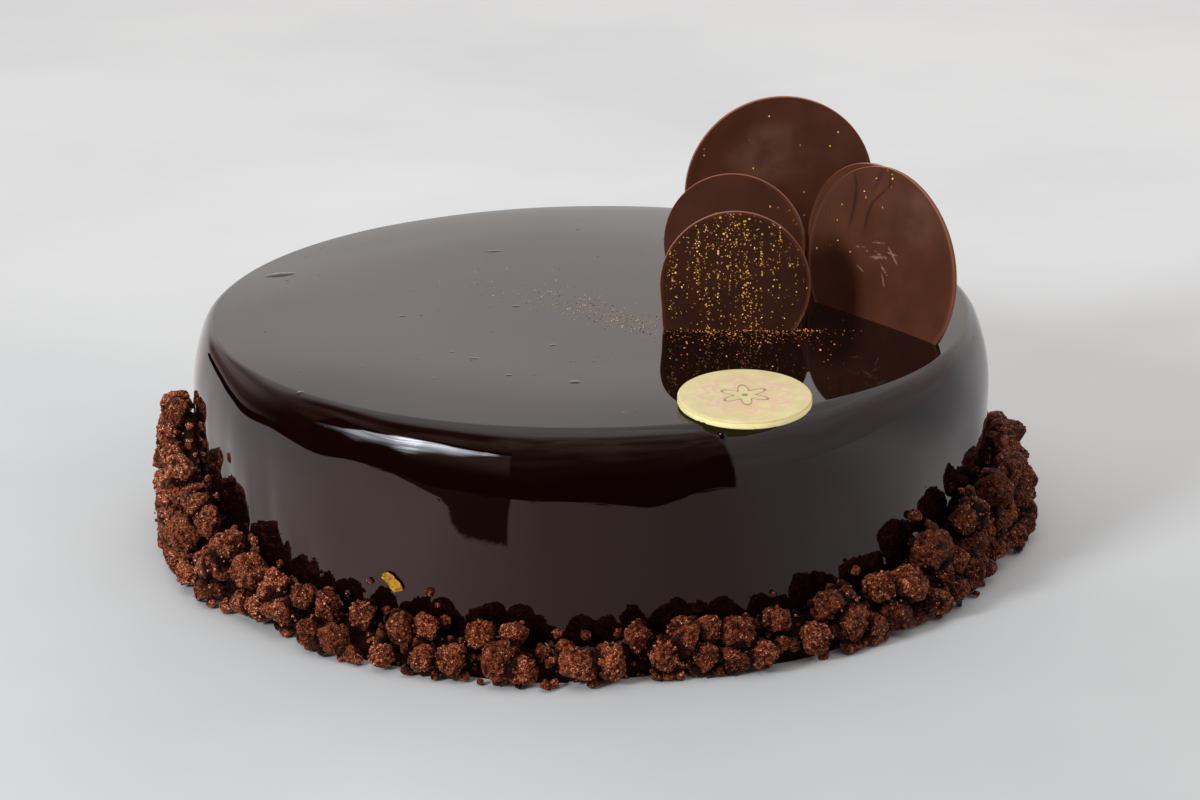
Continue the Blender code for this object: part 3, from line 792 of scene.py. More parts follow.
for index, (name, (radius, centre, yaw, lean)) in enumerate(DISCS.items()):
    profile = np.array(disc_profile(radius))
    turn = np.linspace(0.0, math.tau, DISC_AROUND, endpoint=False)
    outline = 1.0 + 0.0015 * np.sin(3 * turn + index) + 0.0010 * np.sin(5 * turn + 2 * index)
    if name in DISC_CORNERS:
        middle, spread, share = DISC_CORNERS[name]
        away = np.degrees(np.angle(np.exp(1j * (turn - math.radians(middle)))))
        outline = outline + share * np.exp(-(away / spread) ** 2)
    across = profile[:, :1] * outline[None, :]
    local_x, local_z = across * np.cos(turn), across * np.sin(turn)
    bend = 0.00010 * np.sin(local_x * 90 + index) * np.sin(local_z * 70 + 2 * index)
    local_y = profile[:, 1:] + bend
    points = np.stack([local_x, local_y, local_z], -1).reshape(-1, 3)
    faces = polar_faces(len(profile), DISC_AROUND)[:, ::-1]
    piece = add_mesh("chocolate_" + name, points, np.ascontiguousarray(faces),
                     DISC_MATERIALS.get(name, plain_chocolate))
    reach = np.repeat(profile[:, 0] / radius, DISC_AROUND)
    rim_share = np.clip((reach * radius - (radius - RIM_LIP)) / (RIM_LIP * 0.6), 0.0, 1.0)
    behind = np.repeat(profile[:, 1] > -DISC_THICKNESS / 2 + RIM_ROUND * 1.05, DISC_AROUND)
    paint(piece, "rim", np.where(behind, RIM_BEHIND * rim_share, rim_share))
    piece.matrix_world = (Matrix.Translation(centre) @ Matrix.Rotation(math.radians(yaw), 4, "Z")
                          @ Matrix.Rotation(math.radians(lean), 4, "X"))
    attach(piece, "root")
    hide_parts(name)


# ---- Gold dust ----------------------------------------------------------------------
# Edible gold dust, blown over the left front disc. It clings there in upright streaks,
# lies in front of its foot, and trails away thinly over the glaze to the left.
DUST_SIDES = 6


def gold(name, dim, bright, flat=0.0):
    """Dusty gold, from dim to bright flakes, whose painted tone stands for a glint; flat is how patchy a
    larger flake is.
    """
    material, tree, output = new_material(name)
    patches = fade(tree, noise_value(tree, object_place(tree)[0], 900.0), 0.35, 0.65, 0.0, flat)
    share = maths(tree, "ADD", painted(tree, "tone"), patches)
    finish_surface(tree, output, {"Base Color": blend_colours(tree, share, dim, bright),
                                  "Metallic": 0.10, "Roughness": 0.38})
    return material


GOLD_DIM, GOLD_GLINT = (0.34, 0.125, 0.016, 1.0), (1.0, 0.64, 0.15, 1.0)
AMBER_DIM, AMBER_GLINT = (0.34, 0.075, 0.008, 1.0), (1.0, 0.46, 0.10, 1.0)
gold_material = gold("gold_dust", GOLD_DIM, GOLD_GLINT)
amber_material = gold("amber_gold_dust", AMBER_DIM, AMBER_GLINT)


def add_dust(name, spots, seed, material=gold_material):
    """Small tilted flakes joined into one piece; a spot is a place, a normal and a radius."""
    draw = random.Random(seed)
    points, faces, glint_levels = [], [], []
    for centre, normal, size in spots:
        tilt = Vector([draw.gauss(0.0, 0.45) for _ in range(3)])
        lie = (normal + tilt).normalized().to_track_quat("Z", "Y").to_matrix()
        first = len(points)
        middle = centre + normal * size * 0.45
        points.append(middle + lie @ Vector((0.0, 0.0, size * 0.3)))
        points += [middle + lie @ Vector((size * math.cos(a), size * math.sin(a), 0.0))
                   for a in np.linspace(0.0, math.tau, DUST_SIDES, endpoint=False)]
        faces += [(first, first + 1 + k, first + 1 + (k + 1) % DUST_SIDES)
                  for k in range(DUST_SIDES)]
        # painted glint: each speck's own brightness
        glint_levels += [draw.random() ** 1.3] * (DUST_SIDES + 1)
    piece = add_mesh(name, points, faces, material, smooth=False)
    paint(piece, "tone", glint_levels)
    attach(piece, "root")


def on_glaze(across, along):
    """Point on top of the cake."""
    return Vector((across, along, float(glaze_height(math.hypot(across, along)))))


def on_disc(name, across, up):
    """Point on a disc's face and the direction the face looks."""
    radius, centre, yaw, lean = DISCS[name]
    turn = Matrix.Rotation(math.radians(yaw), 3, "Z") @ Matrix.Rotation(math.radians(lean), 3, "X")
    spot = turn @ Vector((across, -DISC_THICKNESS / 2 + FACE_DROP - 0.00002, up))
    return Vector(centre) + spot, turn @ Vector((0.0, -1.0, 0.0))


# smallest and largest radius of a speck
SPECK = (0.00010, 0.00029)
FAR_SPECK = (0.00021, 0.00036)
TRAIL_SPECK = (0.00007, 0.00019)
FALLEN_SPECK = (0.00010, 0.00028)
FACE_SPECKS = 900
FACE_FOOT = -0.0125          # height on the disc's face where the glaze begins
STREAKS = 30
STREAK_SHARE = 0.52          # of the face's specks
HEART_SHARE = 0.30           # of the other specks, which lie close together above the middle
TRAIL_SPECKS = 520
TRAIL_START = Vector((0.0155, -0.0270))
TRAIL_END = Vector((-0.0420, 0.0330))
TRAIL_SPREAD = (0.0030, 0.0080)
FALLEN_SPECKS = 520
# single specks that flew on to the other discs, in each disc's own coordinates
FAR_SPECKS = {
    "disc_back": ((0.0168, 0.0164), (0.0145, 0.0123), (0.0072, -0.0012), (-0.0221, 0.0130),
                  (-0.0034, 0.0220), (-0.0091, 0.0151), (-0.0078, 0.0067), (0.0058, 0.0130),
                  (0.0074, -0.0082), (-0.0221, 0.0111)),
    "disc_right_front": ((0.0021, 0.0262), (0.0024, 0.0251), (0.0024, 0.0228), (-0.0035, 0.0241),
                         (-0.0077, 0.0198), (-0.0071, 0.0188), (-0.0069, 0.0182),
                         (-0.0157, 0.0146), (-0.0170, 0.0100), (-0.0205, 0.0112),
                         (-0.0165, 0.0083), (-0.0163, 0.0045), (-0.0190, 0.0026),
                         (-0.0241, 0.0007), (-0.0048, 0.0040), (-0.0112, 0.0024),
                         (-0.0004, 0.0168), (0.0004, 0.0270)),
    "disc_left_rear": ((0.0100, 0.0113), (0.0122, 0.0111), (0.0154, 0.0105), (0.0176, 0.0068),
                       (0.0166, 0.0078), (-0.0051, 0.0087)),
}
draw = random.Random(3)
columns = [(draw.uniform(-0.018, 0.017), draw.uniform(-0.010, 0.012), draw.uniform(0.003, 0.009))
           for _ in range(STREAKS)]
radius = SMALL_DISC
spots = []
while len(spots) < FACE_SPECKS:
    if draw.random() < STREAK_SHARE:
        middle, level, tall = draw.choice(columns)
        across, up = draw.gauss(middle, 0.00022), draw.gauss(level, tall)
    else:
        across, up = draw.gauss(-0.001, 0.0105), draw.uniform(FACE_FOOT - 0.0002, radius)
        if draw.random() < HEART_SHARE:
            across, up = draw.gauss(-0.0005, 0.0055), draw.gauss(0.0125, 0.0045)
    if math.hypot(across, up) > radius - 0.0004 or up < FACE_FOOT:
        continue
    if across > 0.006 and up < 0.004 and draw.random() < 0.55:
        continue
    size = draw.uniform(*SPECK) * (1.35 if draw.random() < 0.10 else 0.85)
    spots.append((*on_disc("disc_left_front", across, up), size))
for name, places in FAR_SPECKS.items():
    spots += [(*on_disc(name, across, up), draw.uniform(*FAR_SPECK)) for across, up in places]
add_dust("gold_on_discs", spots, 31)
spots = []
while len(spots) < TRAIL_SPECKS:
    share = abs(draw.gauss(0.0, 0.38))
    if share > 1.0:
        continue
    middle = TRAIL_START.lerp(TRAIL_END, share)
    spread = TRAIL_SPREAD[0] + (TRAIL_SPREAD[1] - TRAIL_SPREAD[0]) * share
    spot = middle + Vector((draw.gauss(0, spread), draw.gauss(0, spread * 1.3)))
    spots.append((on_glaze(spot.x, spot.y), Vector((0, 0, 1)),
                  draw.uniform(*TRAIL_SPECK) * (1.0 - 0.35 * share)))
add_dust("gold_trail", spots, 32)
spots = []
while len(spots) < FALLEN_SPECKS:
    across = 0.041 + draw.gauss(0.0, 0.0125)
    along = -0.0322 - draw.expovariate(1.0 / 0.0058) + 0.0016 * draw.random()
    if draw.random() < 0.20:
        across, along = draw.gauss(0.042, 0.012), -0.0316 - draw.expovariate(1.0 / 0.0011)
    if math.hypot(across, along) > 0.1 or along < -0.062:
        continue
    spots.append((on_glaze(across, along), Vector((0, 0, 1)), draw.uniform(*FALLEN_SPECK)))
add_dust("gold_fallen", spots, 33, amber_material)


# ---- Plaque -------------------------------------------------------------------------
# A thin round of ivory chocolate laid on the glaze at the front, a little tilted. It
# holds a printed rosette in pale pink and brown, and its rim has small nicks.
PLAQUE_RADIUS = 0.01675
PLAQUE_THICKNESS = 0.0021
PLAQUE_EDGE = 0.0005
PLAQUE_LEAN = math.radians(4.7)
PLAQUE_LEAN_AZIMUTH = math.radians(-85.6)
PLAQUE_AROUND = 180
NICK_DEPTH = 0.022           # of the radius

downhill = Vector((math.cos(PLAQUE_LEAN_AZIMUTH) * math.cos(PLAQUE_LEAN),
                   math.sin(PLAQUE_LEAN_AZIMUTH) * math.cos(PLAQUE_LEAN), -math.sin(PLAQUE_LEAN)))
sideways = Vector((-math.sin(PLAQUE_LEAN_AZIMUTH), math.cos(PLAQUE_LEAN_AZIMUTH), 0.0))
plaque_normal = downhill.cross(sideways)
low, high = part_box("plaque")
plaque_centre = (Vector(low) + Vector(high)) / 2
plaque_turn = Matrix((downhill, sideways, plaque_normal)).transposed()
plaque_place = Matrix.Translation(plaque_centre) @ plaque_turn.to_4x4()

half = PLAQUE_THICKNESS / 2
profile = [(0.0001, half)] + [(PLAQUE_RADIUS * share, half) for share in np.linspace(0.1, 0.9, 12)]
profile += [(PLAQUE_RADIUS - PLAQUE_EDGE * (1 - math.sin(a)), half - PLAQUE_EDGE * (1 - math.cos(a)))
            for a in np.linspace(0.0, math.pi / 2, 7)]
profile += [(PLAQUE_RADIUS - PLAQUE_EDGE * (1 - math.cos(a)), -half + PLAQUE_EDGE * (1 - math.sin(a)))
            for a in np.linspace(0.0, math.pi / 2, 7)]
profile += [(PLAQUE_RADIUS * 0.5, -half), (0.0001, -half)]
profile = np.array(profile)
turn = np.linspace(0.0, math.tau, PLAQUE_AROUND, endpoint=False)
draw = np.random.default_rng(11)
chips = 1.0 - NICK_DEPTH * np.clip(draw.normal(0.0, 1.0, PLAQUE_AROUND) - 0.9, 0.0, 1.5)
chips = np.where(np.abs(np.angle(np.exp(1j * turn))) < 1.9, chips, 1.0)
near_rim = np.clip(profile[:, 0] / PLAQUE_RADIUS * 10 - 9, 0.0, 1.0)[:, None]
across = profile[:, :1] * (1.0 + near_rim * (chips[None, :] - 1.0))
points = np.stack([across * np.cos(turn), across * np.sin(turn),
                   np.repeat(profile[:, 1:], PLAQUE_AROUND, 1)], -1).reshape(-1, 3)
faces = polar_faces(len(profile), PLAQUE_AROUND)

IVORY = (0.60, 0.53, 0.28, 1.0)
IVORY_DEEP = (0.54, 0.47, 0.24, 1.0)
IVORY_RIM_LIT = (1.0, 0.85, 0.43, 1.0)
PRINT_PINK = (0.62, 0.40, 0.32, 1.0)
PRINT_BROWN = (0.20, 0.115, 0.075, 1.0)
ivory_material, tree, output = new_material("ivory_chocolate")
place, x, y, z = object_place(tree)
reach = maths(tree, "DIVIDE", maths(tree, "SQRT", maths(
    tree, "ADD", maths(tree, "MULTIPLY", x, x), maths(tree, "MULTIPLY", y, y))), PLAQUE_RADIUS)
angle = maths(tree, "ARCTAN2", y, x)


def print_line(tree, reach, angle, radius, swing, petals, width):
    """Mask of a wavy ring: its radius, how far and how often it swings, its width."""
    swung = maths(tree, "MULTIPLY", maths(tree, "COSINE", maths(
        tree, "MULTIPLY", angle, petals)), swing)
    off = maths(tree, "ABSOLUTE", maths(tree, "SUBTRACT", reach, maths(
        tree, "ADD", swung, radius)))
    return fade(tree, off, width, width * 0.6)


colour, cloud = clouds(tree, place, 220.0, 3.0, (IVORY, IVORY_DEEP))
# painted light: the plaque's side is painted paler, as its lit front edge
colour = blend_colours(tree, fade(tree, z, half * 0.75, half * 0.25), colour, IVORY_RIM_LIT)
pink = maths(tree, "MAXIMUM", print_line(tree, reach, angle, 0.60, 0.07, 12.0, 0.05),
             print_line(tree, reach, angle, 0.38, 0.12, 6.0, 0.05))
pink = maths(tree, "MAXIMUM", pink, print_line(tree, reach, angle, 0.74, -0.03, 24.0, 0.012))
brown = maths(tree, "MAXIMUM", print_line(tree, reach, angle, 0.27, 0.10, 6.0, 0.03),
              print_line(tree, reach, angle, 0.0, 0.0, 0.0, 0.06))
on_top = fade(tree, z, half * 0.90, half * 0.97)
for printed, strength, ink in ((pink, 0.85, PRINT_PINK), (brown, 0.80, PRINT_BROWN)):
    shown = maths(tree, "MULTIPLY", maths(tree, "MULTIPLY", printed, on_top), strength)
    colour = blend_colours(tree, shown, colour, ink)
finish_surface(tree, output, {"Base Color": colour,
                              "Roughness": fade(tree, cloud, 0.3, 0.7, 0.34, 0.46),
                              "Normal": fine_grain(tree, place, 220.0, 0.2, 0.0002),
                              "Subsurface Weight": 0.45, "Subsurface Scale": 1.0,
                              "Subsurface Radius": (0.004, 0.003, 0.0015)})
plaque = add_mesh("ivory_plaque", points, faces, ivory_material)
plaque.matrix_world = plaque_place
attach(plaque, "root")
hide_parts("plaque")


# ---- Crumble ------------------------------------------------------------------------
# A ring of cocoa crumble pressed round the foot while the glaze was soft. Baked clumps
# as large as a pea lie two or three deep, over a bed of finer crumbs.
CRUMB_HEIGHT = 0.0150
CRUMB_WIDTH = 0.0142
CRUMB_WIDTH_WAVES = ((3, 0.0010, 0.4), (7, 0.0012, 1.9), (13, 0.0010, 4.1))
# mounds where the crumble was pressed higher: azimuth, added height, half width
CRUMB_MOUNDS = (
    (-175.0, 0.0165, 9.5),
    (-163.0, 0.0140, 22.0),
    (-92.0, -0.0038, 6.0),
    (-25.0, 0.0120, 25.0),
    (3.0, 0.0080, 14.0),
    (62.0, 0.0060, 20.0),
    (128.0, 0.0070, 24.0),
)
BED_INSET = 0.0057           # of the bed under the clumps
SIDE_GAP = 0.0006            # from a clump's round form to the glaze
SKIN_GAP = 0.0001            # from anything here to the glaze and to the table
CLUMP_SIZE = 0.0050
CLUMP_SPREAD = 0.20
CLUMP_PITCH = 0.0099
CLUMP_STRAY = 0.34
CLUMP_LIFT = 0.0003
ROW_RISE = 0.0070
ROW_STRAY = 0.0011
ROW_COUNT = 6
HEAP_ROUNDNESS = 1.7
CRUMB_SEED = 7


def on_circle(radius, azimuth, height):
    turn = math.radians(azimuth)
    return Vector((radius * math.cos(turn), radius * math.sin(turn), height))


def heap_size(azimuth):
    """Height and width of the crumble at an azimuth in degrees."""
    height = CRUMB_HEIGHT
    for centre, rise, spread in CRUMB_MOUNDS:
        away = (azimuth - centre + 180.0) % 360.0 - 180.0
        height += rise * math.exp(-(away / spread) ** 2)
    width = CRUMB_WIDTH
    for waves, swing, phase in CRUMB_WIDTH_WAVES:
        width += swing * math.sin(waves * math.radians(azimuth) + phase)
    return height, width


def place_clumps():
    """Centre and radius of each clump, in rows from the foot up the heap's slope."""
    draw = random.Random(CRUMB_SEED)
    count = round(math.tau * (CAKE_RADIUS + CRUMB_WIDTH / 2) / CLUMP_PITCH)
    clumps = []
    for row in range(ROW_COUNT):
        for step in range(count):
            along, lift, growth = [draw.uniform(-1.0, 1.0) for _ in range(3)]
            azimuth = 360.0 * (step + row / 2 + CLUMP_STRAY * along) / count
            height, width = heap_size(azimuth)
            last_row = round(max(height - 2 * CLUMP_SIZE, 0.0) / ROW_RISE)
            if row > last_row:
                continue
            size = CLUMP_SIZE * (1.0 + CLUMP_SPREAD * growth)
            up = row / max(last_row, 1)
            lowest = CLUMP_LIFT + size
            level = lowest + max(height - size - lowest, 0.0) * up + ROW_STRAY * lift
            nearest = size + SIDE_GAP
            out = nearest + max(width - size - nearest, 0.0) * (1.0 - up ** HEAP_ROUNDNESS)
            clumps.append((on_circle(CAKE_RADIUS + out, azimuth, max(level, lowest)), size))
    return clumps


def sphere_reach(ways, centres, sizes):
    """How far balls reach along directions from the origin; 0 where a ball is missed."""
    along = ways @ centres.T
    inside = sizes ** 2 - (centres ** 2).sum(1) + along ** 2
    reach = along + np.sqrt(np.maximum(inside, 0.0))
    return np.where(inside > 0.0, reach, 0.0).max(1)


CHUNK_LEAN = 0.22            # how far a chunk's six sides are from square
CHUNK_CUTS = 4
# sizes and depths are shares of a clump's radius
MAIN_CHUNK = 0.90
MORE_CHUNKS = (0.30, 0.50)
MORE_CHUNKS_OUT = (0.40, 0.65)
GRANULE_SIZES = (0.030, 0.110)
GRANULE_SUNK = 0.40
ROUGHNESS = 0.030
LIT_REACH = 0.12          # what stands out by half of this is fully lit


def cut_chunk(centre, size, draw):
    """Block with flat sides and cut corners: its centre, size, side normals and depths."""
    turn = np.array(Euler(draw.uniform(0.0, math.tau, 3)).to_matrix())
    normals = np.concatenate([turn, -turn]) + draw.normal(scale=CHUNK_LEAN, size=(6, 3))
    normals = np.concatenate([normals, draw.normal(size=(CHUNK_CUTS, 3))])
    normals /= np.linalg.norm(normals, axis=1)[:, None]
    depths = np.concatenate([draw.uniform(0.58, 0.86, 6), draw.uniform(0.72, 0.92, CHUNK_CUTS)])
    return centre, size, normals, size * depths + normals @ centre


def chunk_reach(ways, chunks):
    """How far the chunks reach along directions from the origin."""
    reach = np.zeros(len(ways))
    for centre, size, normals, depths in chunks:
        slant = ways @ normals.T
        slant = np.where(np.abs(slant) < 1e-6, 1e-6, slant)
        leaves = np.where(slant > 0.0, depths / slant, np.inf).min(1)
        enters = np.where(slant < 0.0, depths / slant, 0.0).max(1)
        leaves = np.minimum(leaves, sphere_reach(ways, np.array([centre]), np.array([size * 1.05])))
        reach = np.maximum(reach, np.where(leaves > enters, leaves, 0.0))
    return reach


def clump_shape(number, sides, extra, granules=120):
    """Baked clump of about unit radius: chunks with granules standing out of them.

    Returns points, faces and how far each point stands out of the chunks' sides, as a share from 0 to 1
    that the material paints as light and shade.
    """
    draw = np.random.default_rng(number)
    build_mesh = bmesh.new()
    bmesh.ops.create_icosphere(build_mesh, subdivisions=6, radius=1.0)
    ways = np.array([vert.co for vert in build_mesh.verts])
    chunks = [cut_chunk(np.zeros(3), MAIN_CHUNK, draw)]
    for _ in range(extra):
        way = draw.normal(size=3)
        way *= draw.uniform(*MORE_CHUNKS_OUT) / np.linalg.norm(way)
        chunks.append(cut_chunk(way, draw.uniform(*MORE_CHUNKS), draw))
    reach = chunk_reach(ways, chunks)
    picked = draw.choice(len(ways), granules, replace=False)
    smallest, largest = GRANULE_SIZES
    granule_sizes = smallest + (largest - smallest) * draw.random(granules) ** 2
    granule_centres = ways[picked] * (reach[picked] - granule_sizes * GRANULE_SUNK)[:, None]
    reach = np.maximum(reach, sphere_reach(ways, granule_centres, granule_sizes))
    offset = Vector((number * 7.3, number * 3.1, number * 5.7))
    for vert, way, length in zip(build_mesh.verts, ways, reach):
        way = Vector(way)
        rough = (noise.noise(way * 17.0 + offset) * 0.7 + noise.noise(way * 8.0 + offset)
                 + 1.6 * noise.noise(way * 3.5 + offset))
        vert.co = way * (length + ROUGHNESS * rough)
    rough_mesh = bpy.data.meshes.new("clump_shape")
    build_mesh.to_mesh(rough_mesh)
    build_mesh.free()
    holder = bpy.data.objects.new("clump_shape", rough_mesh)
    bpy.context.scene.collection.objects.link(holder)
    thinner = holder.modifiers.new("fewer", "DECIMATE")
    thinner.ratio = sides / len(rough_mesh.polygons)
    graph = bpy.context.evaluated_depsgraph_get()
    thin_mesh = bpy.data.meshes.new_from_object(holder.evaluated_get(graph))
    points = np.empty(len(thin_mesh.vertices) * 3, dtype=np.float32)
    thin_mesh.vertices.foreach_get("co", points)
    thin_mesh.calc_loop_triangles()
    faces = np.empty(len(thin_mesh.loop_triangles) * 3, dtype=np.int32)
    thin_mesh.loop_triangles.foreach_get("vertices", faces)
    bpy.data.objects.remove(holder)
    bpy.data.meshes.remove(rough_mesh)
    bpy.data.meshes.remove(thin_mesh)
    points = points.reshape(-1, 3)
    lengths = np.linalg.norm(points, axis=1)
    ways = points / lengths[:, None]
    lit_share = 0.5 + (lengths - chunk_reach(ways, chunks)) / LIT_REACH
    points = points / max(lengths.mean() / 0.82, lengths.max() / 1.10)
    return points, faces.reshape(-1, 3), np.clip(lit_share, 0.0, 1.0).astype(np.float32)


CONTACT_SHADE_REACH = 0.0019    # painted shade: clumps are dark this close to where they meet
MEETING_REACH = 0.80         # of a clump's radius


def unshaded_share(points, centre, size, others):
    """1 where a clump's surface lies open, less where it meets one of the others: painted shade where
    clumps touch.
    """
    share = np.ones(len(points))
    for other, reach in others:
        apart = (Vector(other) - Vector(centre)).length
        if 0.0 < apart < size + reach + 0.001:
            gap = np.linalg.norm(points - np.array(other), axis=1) - reach * MEETING_REACH
            share = np.minimum(share, np.clip(gap / CONTACT_SHADE_REACH, 0.0, 1.0))
    return share


def scatter(name, shapes, spots, seed, others=()):
    """Turned copies of the shapes, joined into one piece; a spot is (centre, size)."""
    draw = np.random.default_rng(seed)
    all_points, all_faces, all_tones, all_lit_shares = [], [], [], []
    first = 0
    for centre, size in spots:
        points, faces, lit_share = shapes[draw.integers(len(shapes))]
        turn = Euler(draw.uniform(0.0, math.tau, 3)).to_matrix()
        stretched = points * draw.uniform(0.82, 1.10, 3)
        all_points.append(stretched @ np.array(turn).T * size + np.array(centre))
        all_faces.append(faces + first)
        all_tones.append(np.full(len(points), draw.random()))
        all_lit_shares.append(lit_share * unshaded_share(all_points[-1], centre, size, others))
        first += len(points)
    points = np.concatenate(all_points)
    points[:, 2] = np.maximum(points[:, 2], SKIN_GAP)
    reach = np.hypot(points[:, 0], points[:, 1])
    points[:, :2] *= (np.maximum(reach, CAKE_RADIUS + SKIN_GAP) / reach)[:, None]
    piece = add_mesh(name, points, np.concatenate(all_faces), crumb_material, smooth=False)
    paint(piece, "tone", np.concatenate(all_tones))
    paint(piece, "lit_share", np.concatenate(all_lit_shares))
    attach(piece, "root")


CRUMB_SHADE = (0.0070, 0.0012, 0.0005, 1.0)
CRUMB_BROWN = (0.225, 0.0450, 0.0125, 1.0)
CRUMB_PALE_LIT = (0.480, 0.185, 0.088, 1.0)
CRUMB_GLINT = (0.80, 0.55, 0.44, 1.0)
# painted light: the crumbs are painted paler and pinker on the left, towards the key lamp: factors at
# the left, middle and right
CRUMB_LIGHT_TINTS = ((2.00, 2.35, 2.75, 1.0), (1.40, 1.40, 1.38, 1.0), (1.0, 1.0, 1.0, 1.0))
crumb_material, tree, output = new_material("cocoa_crumble")
place, x, y, z = object_place(tree)
own_tone, lit_share = painted(tree, "tone"), painted(tree, "lit_share")
grain, sand, glint_cells = [add_node(tree, "ShaderNodeTexVoronoi", {"Vector": place, "Scale": scale}).outputs
                      for scale in (1000.0, 2300.0, 1900.0)]
fine = noise_value(tree, place, 2400.0, 3.0)
# painted shade: crevices, the low bed and the borders of fine cells go towards the shade colour
share = maths(tree, "MULTIPLY", fade(tree, lit_share, 0.20, 0.62),
              fade(tree, noise_value(tree, place, 450.0, 4.0), 0.36, 0.58, 0.50, 1.0))
share = maths(tree, "MULTIPLY", share, fade(tree, sand["Distance"], 0.28, 0.62, 1.0, 0.20))
colour = blend_colours(tree, share, CRUMB_SHADE, CRUMB_BROWN)
# pale specks, only where the crumbs stand out: partly the crumbs' own tone, partly painted light
pale_and_lit = maths(tree, "MULTIPLY", fade(tree, fine, 0.48, 0.66), fade(tree, own_tone, 0.0, 1.0, 0.25, 1.0))
pale_and_lit = maths(tree, "MULTIPLY", pale_and_lit, fade(tree, lit_share, 0.40, 0.85))
colour = blend_colours(tree, pale_and_lit, colour, CRUMB_PALE_LIT)
# painted glints: small pale spots on the tops of fine cells, where a shiny coat lies too
glint = maths(tree, "MULTIPLY", fade(tree, glint_cells["Distance"], 0.34, 0.22),
              fade(tree, glint_cells["Color"], 0.63, 0.70))
glint = maths(tree, "MULTIPLY", glint, fade(tree, lit_share, 0.45, 0.70))
colour = blend_colours(tree, maths(tree, "MULTIPLY", glint, 0.55), colour, CRUMB_GLINT)
painted_side_light = blend_colours(tree, fade(tree, x, -0.120, -0.030), CRUMB_LIGHT_TINTS[0], CRUMB_LIGHT_TINTS[1])
painted_side_light = blend_colours(tree, fade(tree, x, 0.020, 0.100), painted_side_light, CRUMB_LIGHT_TINTS[2])
colour = times(tree, times(tree, colour, painted_side_light), fade(tree, own_tone, 0.0, 1.0, 0.76, 1.24))
height = maths(tree, "SUBTRACT", maths(tree, "MULTIPLY", fine, 0.5),
               maths(tree, "MULTIPLY", grain["Distance"], 0.6))
height = maths(tree, "SUBTRACT", height, maths(tree, "MULTIPLY", sand["Distance"], 0.6))
relief = add_node(tree, "ShaderNodeBump", {"Height": height, "Strength": 1.0, "Distance": 0.0006})
finish_surface(tree, output, {"Base Color": colour, "Normal": relief.outputs[0], "Roughness": 0.6,
                              "Specular IOR Level": 0.12, "Coat Weight": glint,
                              "Coat Roughness": 0.12, "Coat IOR": 2.2,
                              "Coat Normal": relief.outputs[0]})

BED_AROUND = 720
BED_ACROSS = 24
BED_DROP = 0.0022            # the visible bed lies a little lower than the solid one
BED_DEPTH = 0.0014           # of its crumbs
BED_LIT_SHARE = 0.22            # it lies deep, so it gets painted shade
# outline of the bed from the cake's foot outwards, in shares of its width and height
BED_OUTLINE = np.array(((0.0, 0.0), (0.0, 1.0), (0.28, 1.0), (0.82, 0.68), (1.0, 0.0)))
lengths = np.concatenate([[0], np.cumsum(np.linalg.norm(np.diff(BED_OUTLINE, axis=0), axis=1))])
stations = np.linspace(0.0, lengths[-1], BED_ACROSS)
section = np.stack([np.interp(stations, lengths, BED_OUTLINE[:, k]) for k in (0, 1)], -1)
points = []
for across, up in section:
    for step in range(BED_AROUND):
        azimuth = 360.0 * step / BED_AROUND
        height, width = [measure - BED_INSET - BED_DROP for measure in heap_size(azimuth)]
        spot = on_circle(CAKE_RADIUS + SKIN_GAP + across * width, azimuth, up * height)
        if 0.0 < across < 1.0:
            bump = noise.voronoi(spot * 420.0)[0][0] + 0.5 * noise.voronoi(spot * 1100.0)[0][0]
            spot += on_circle(1.0, azimuth, 0.8) * BED_DEPTH * (0.55 - bump)
        points.append(spot)
faces = polar_faces(BED_ACROSS, BED_AROUND)
crumb_bed = add_mesh("crumb_bed", points, np.ascontiguousarray(faces[:, ::-1]), crumb_material)
paint(crumb_bed, "lit_share", [BED_LIT_SHARE] * len(points))
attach(crumb_bed, "root")
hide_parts("crumb_ring")

# triangles of a clump in front, of one at the back and of a small one
FRONT_SIDES, BACK_SIDES, SMALL_SIDES = 3700, 1000, 240
large_shapes = [clump_shape(number, FRONT_SIDES, number % 3) for number in range(14)]
far_shapes = [clump_shape(number, BACK_SIDES, number % 3) for number in range(8)]
small_shapes = [clump_shape(number + 40, SMALL_SIDES, number % 2, 40) for number in range(8)]
clumps = place_clumps()
left = [clump for clump in clumps if clump[0].y < 0 and clump[0].x < 0]
right = [clump for clump in clumps if clump[0].y < 0 <= clump[0].x]
back = [clump for clump in clumps if clump[0].y >= 0]
scatter("clumps_front_left", large_shapes, left, 21, clumps)
scatter("clumps_front_right", large_shapes, right, 24, clumps)
scatter("clumps_back", far_shapes, back, 25, clumps)

SMALL_CLUMPS = 600
SMALL_SIZES = (0.0010, 0.0026)
# crumbs that stuck to the glaze above the ring: place and radius
STUCK_CRUMBS = ((0.0830, -0.0722, 0.0253, 0.0021), (0.0815, -0.0745, 0.0262, 0.0012),
                (-0.0403, -0.1023, 0.0180, 0.0014), (-0.0385, -0.1035, 0.0150, 0.0008),
                (-0.0086, -0.1097, 0.0097, 0.0018), (0.0870, -0.0690, 0.0215, 0.0015),
                (-0.0560, -0.0950, 0.0180, 0.0010), (0.0450, -0.1010, 0.0160, 0.0006))
draw = random.Random(5)
spots = []
while len(spots) < SMALL_CLUMPS:
    azimuth = draw.uniform(-180.0, 180.0)
    height, width = heap_size(azimuth)
    size = draw.uniform(*SMALL_SIZES)
    up = draw.random() ** 1.4
    out = (width - size - 0.0014) * (1.0 - up ** HEAP_ROUNDNESS) + draw.uniform(-0.0015, 0.0004)
    level = max(size * 0.9, (height - size) * up + draw.uniform(-0.001, 0.001))
    spots.append((on_circle(CAKE_RADIUS + max(out, size), azimuth, level), size))
spots += [(Vector(place), size) for *place, size in STUCK_CRUMBS]
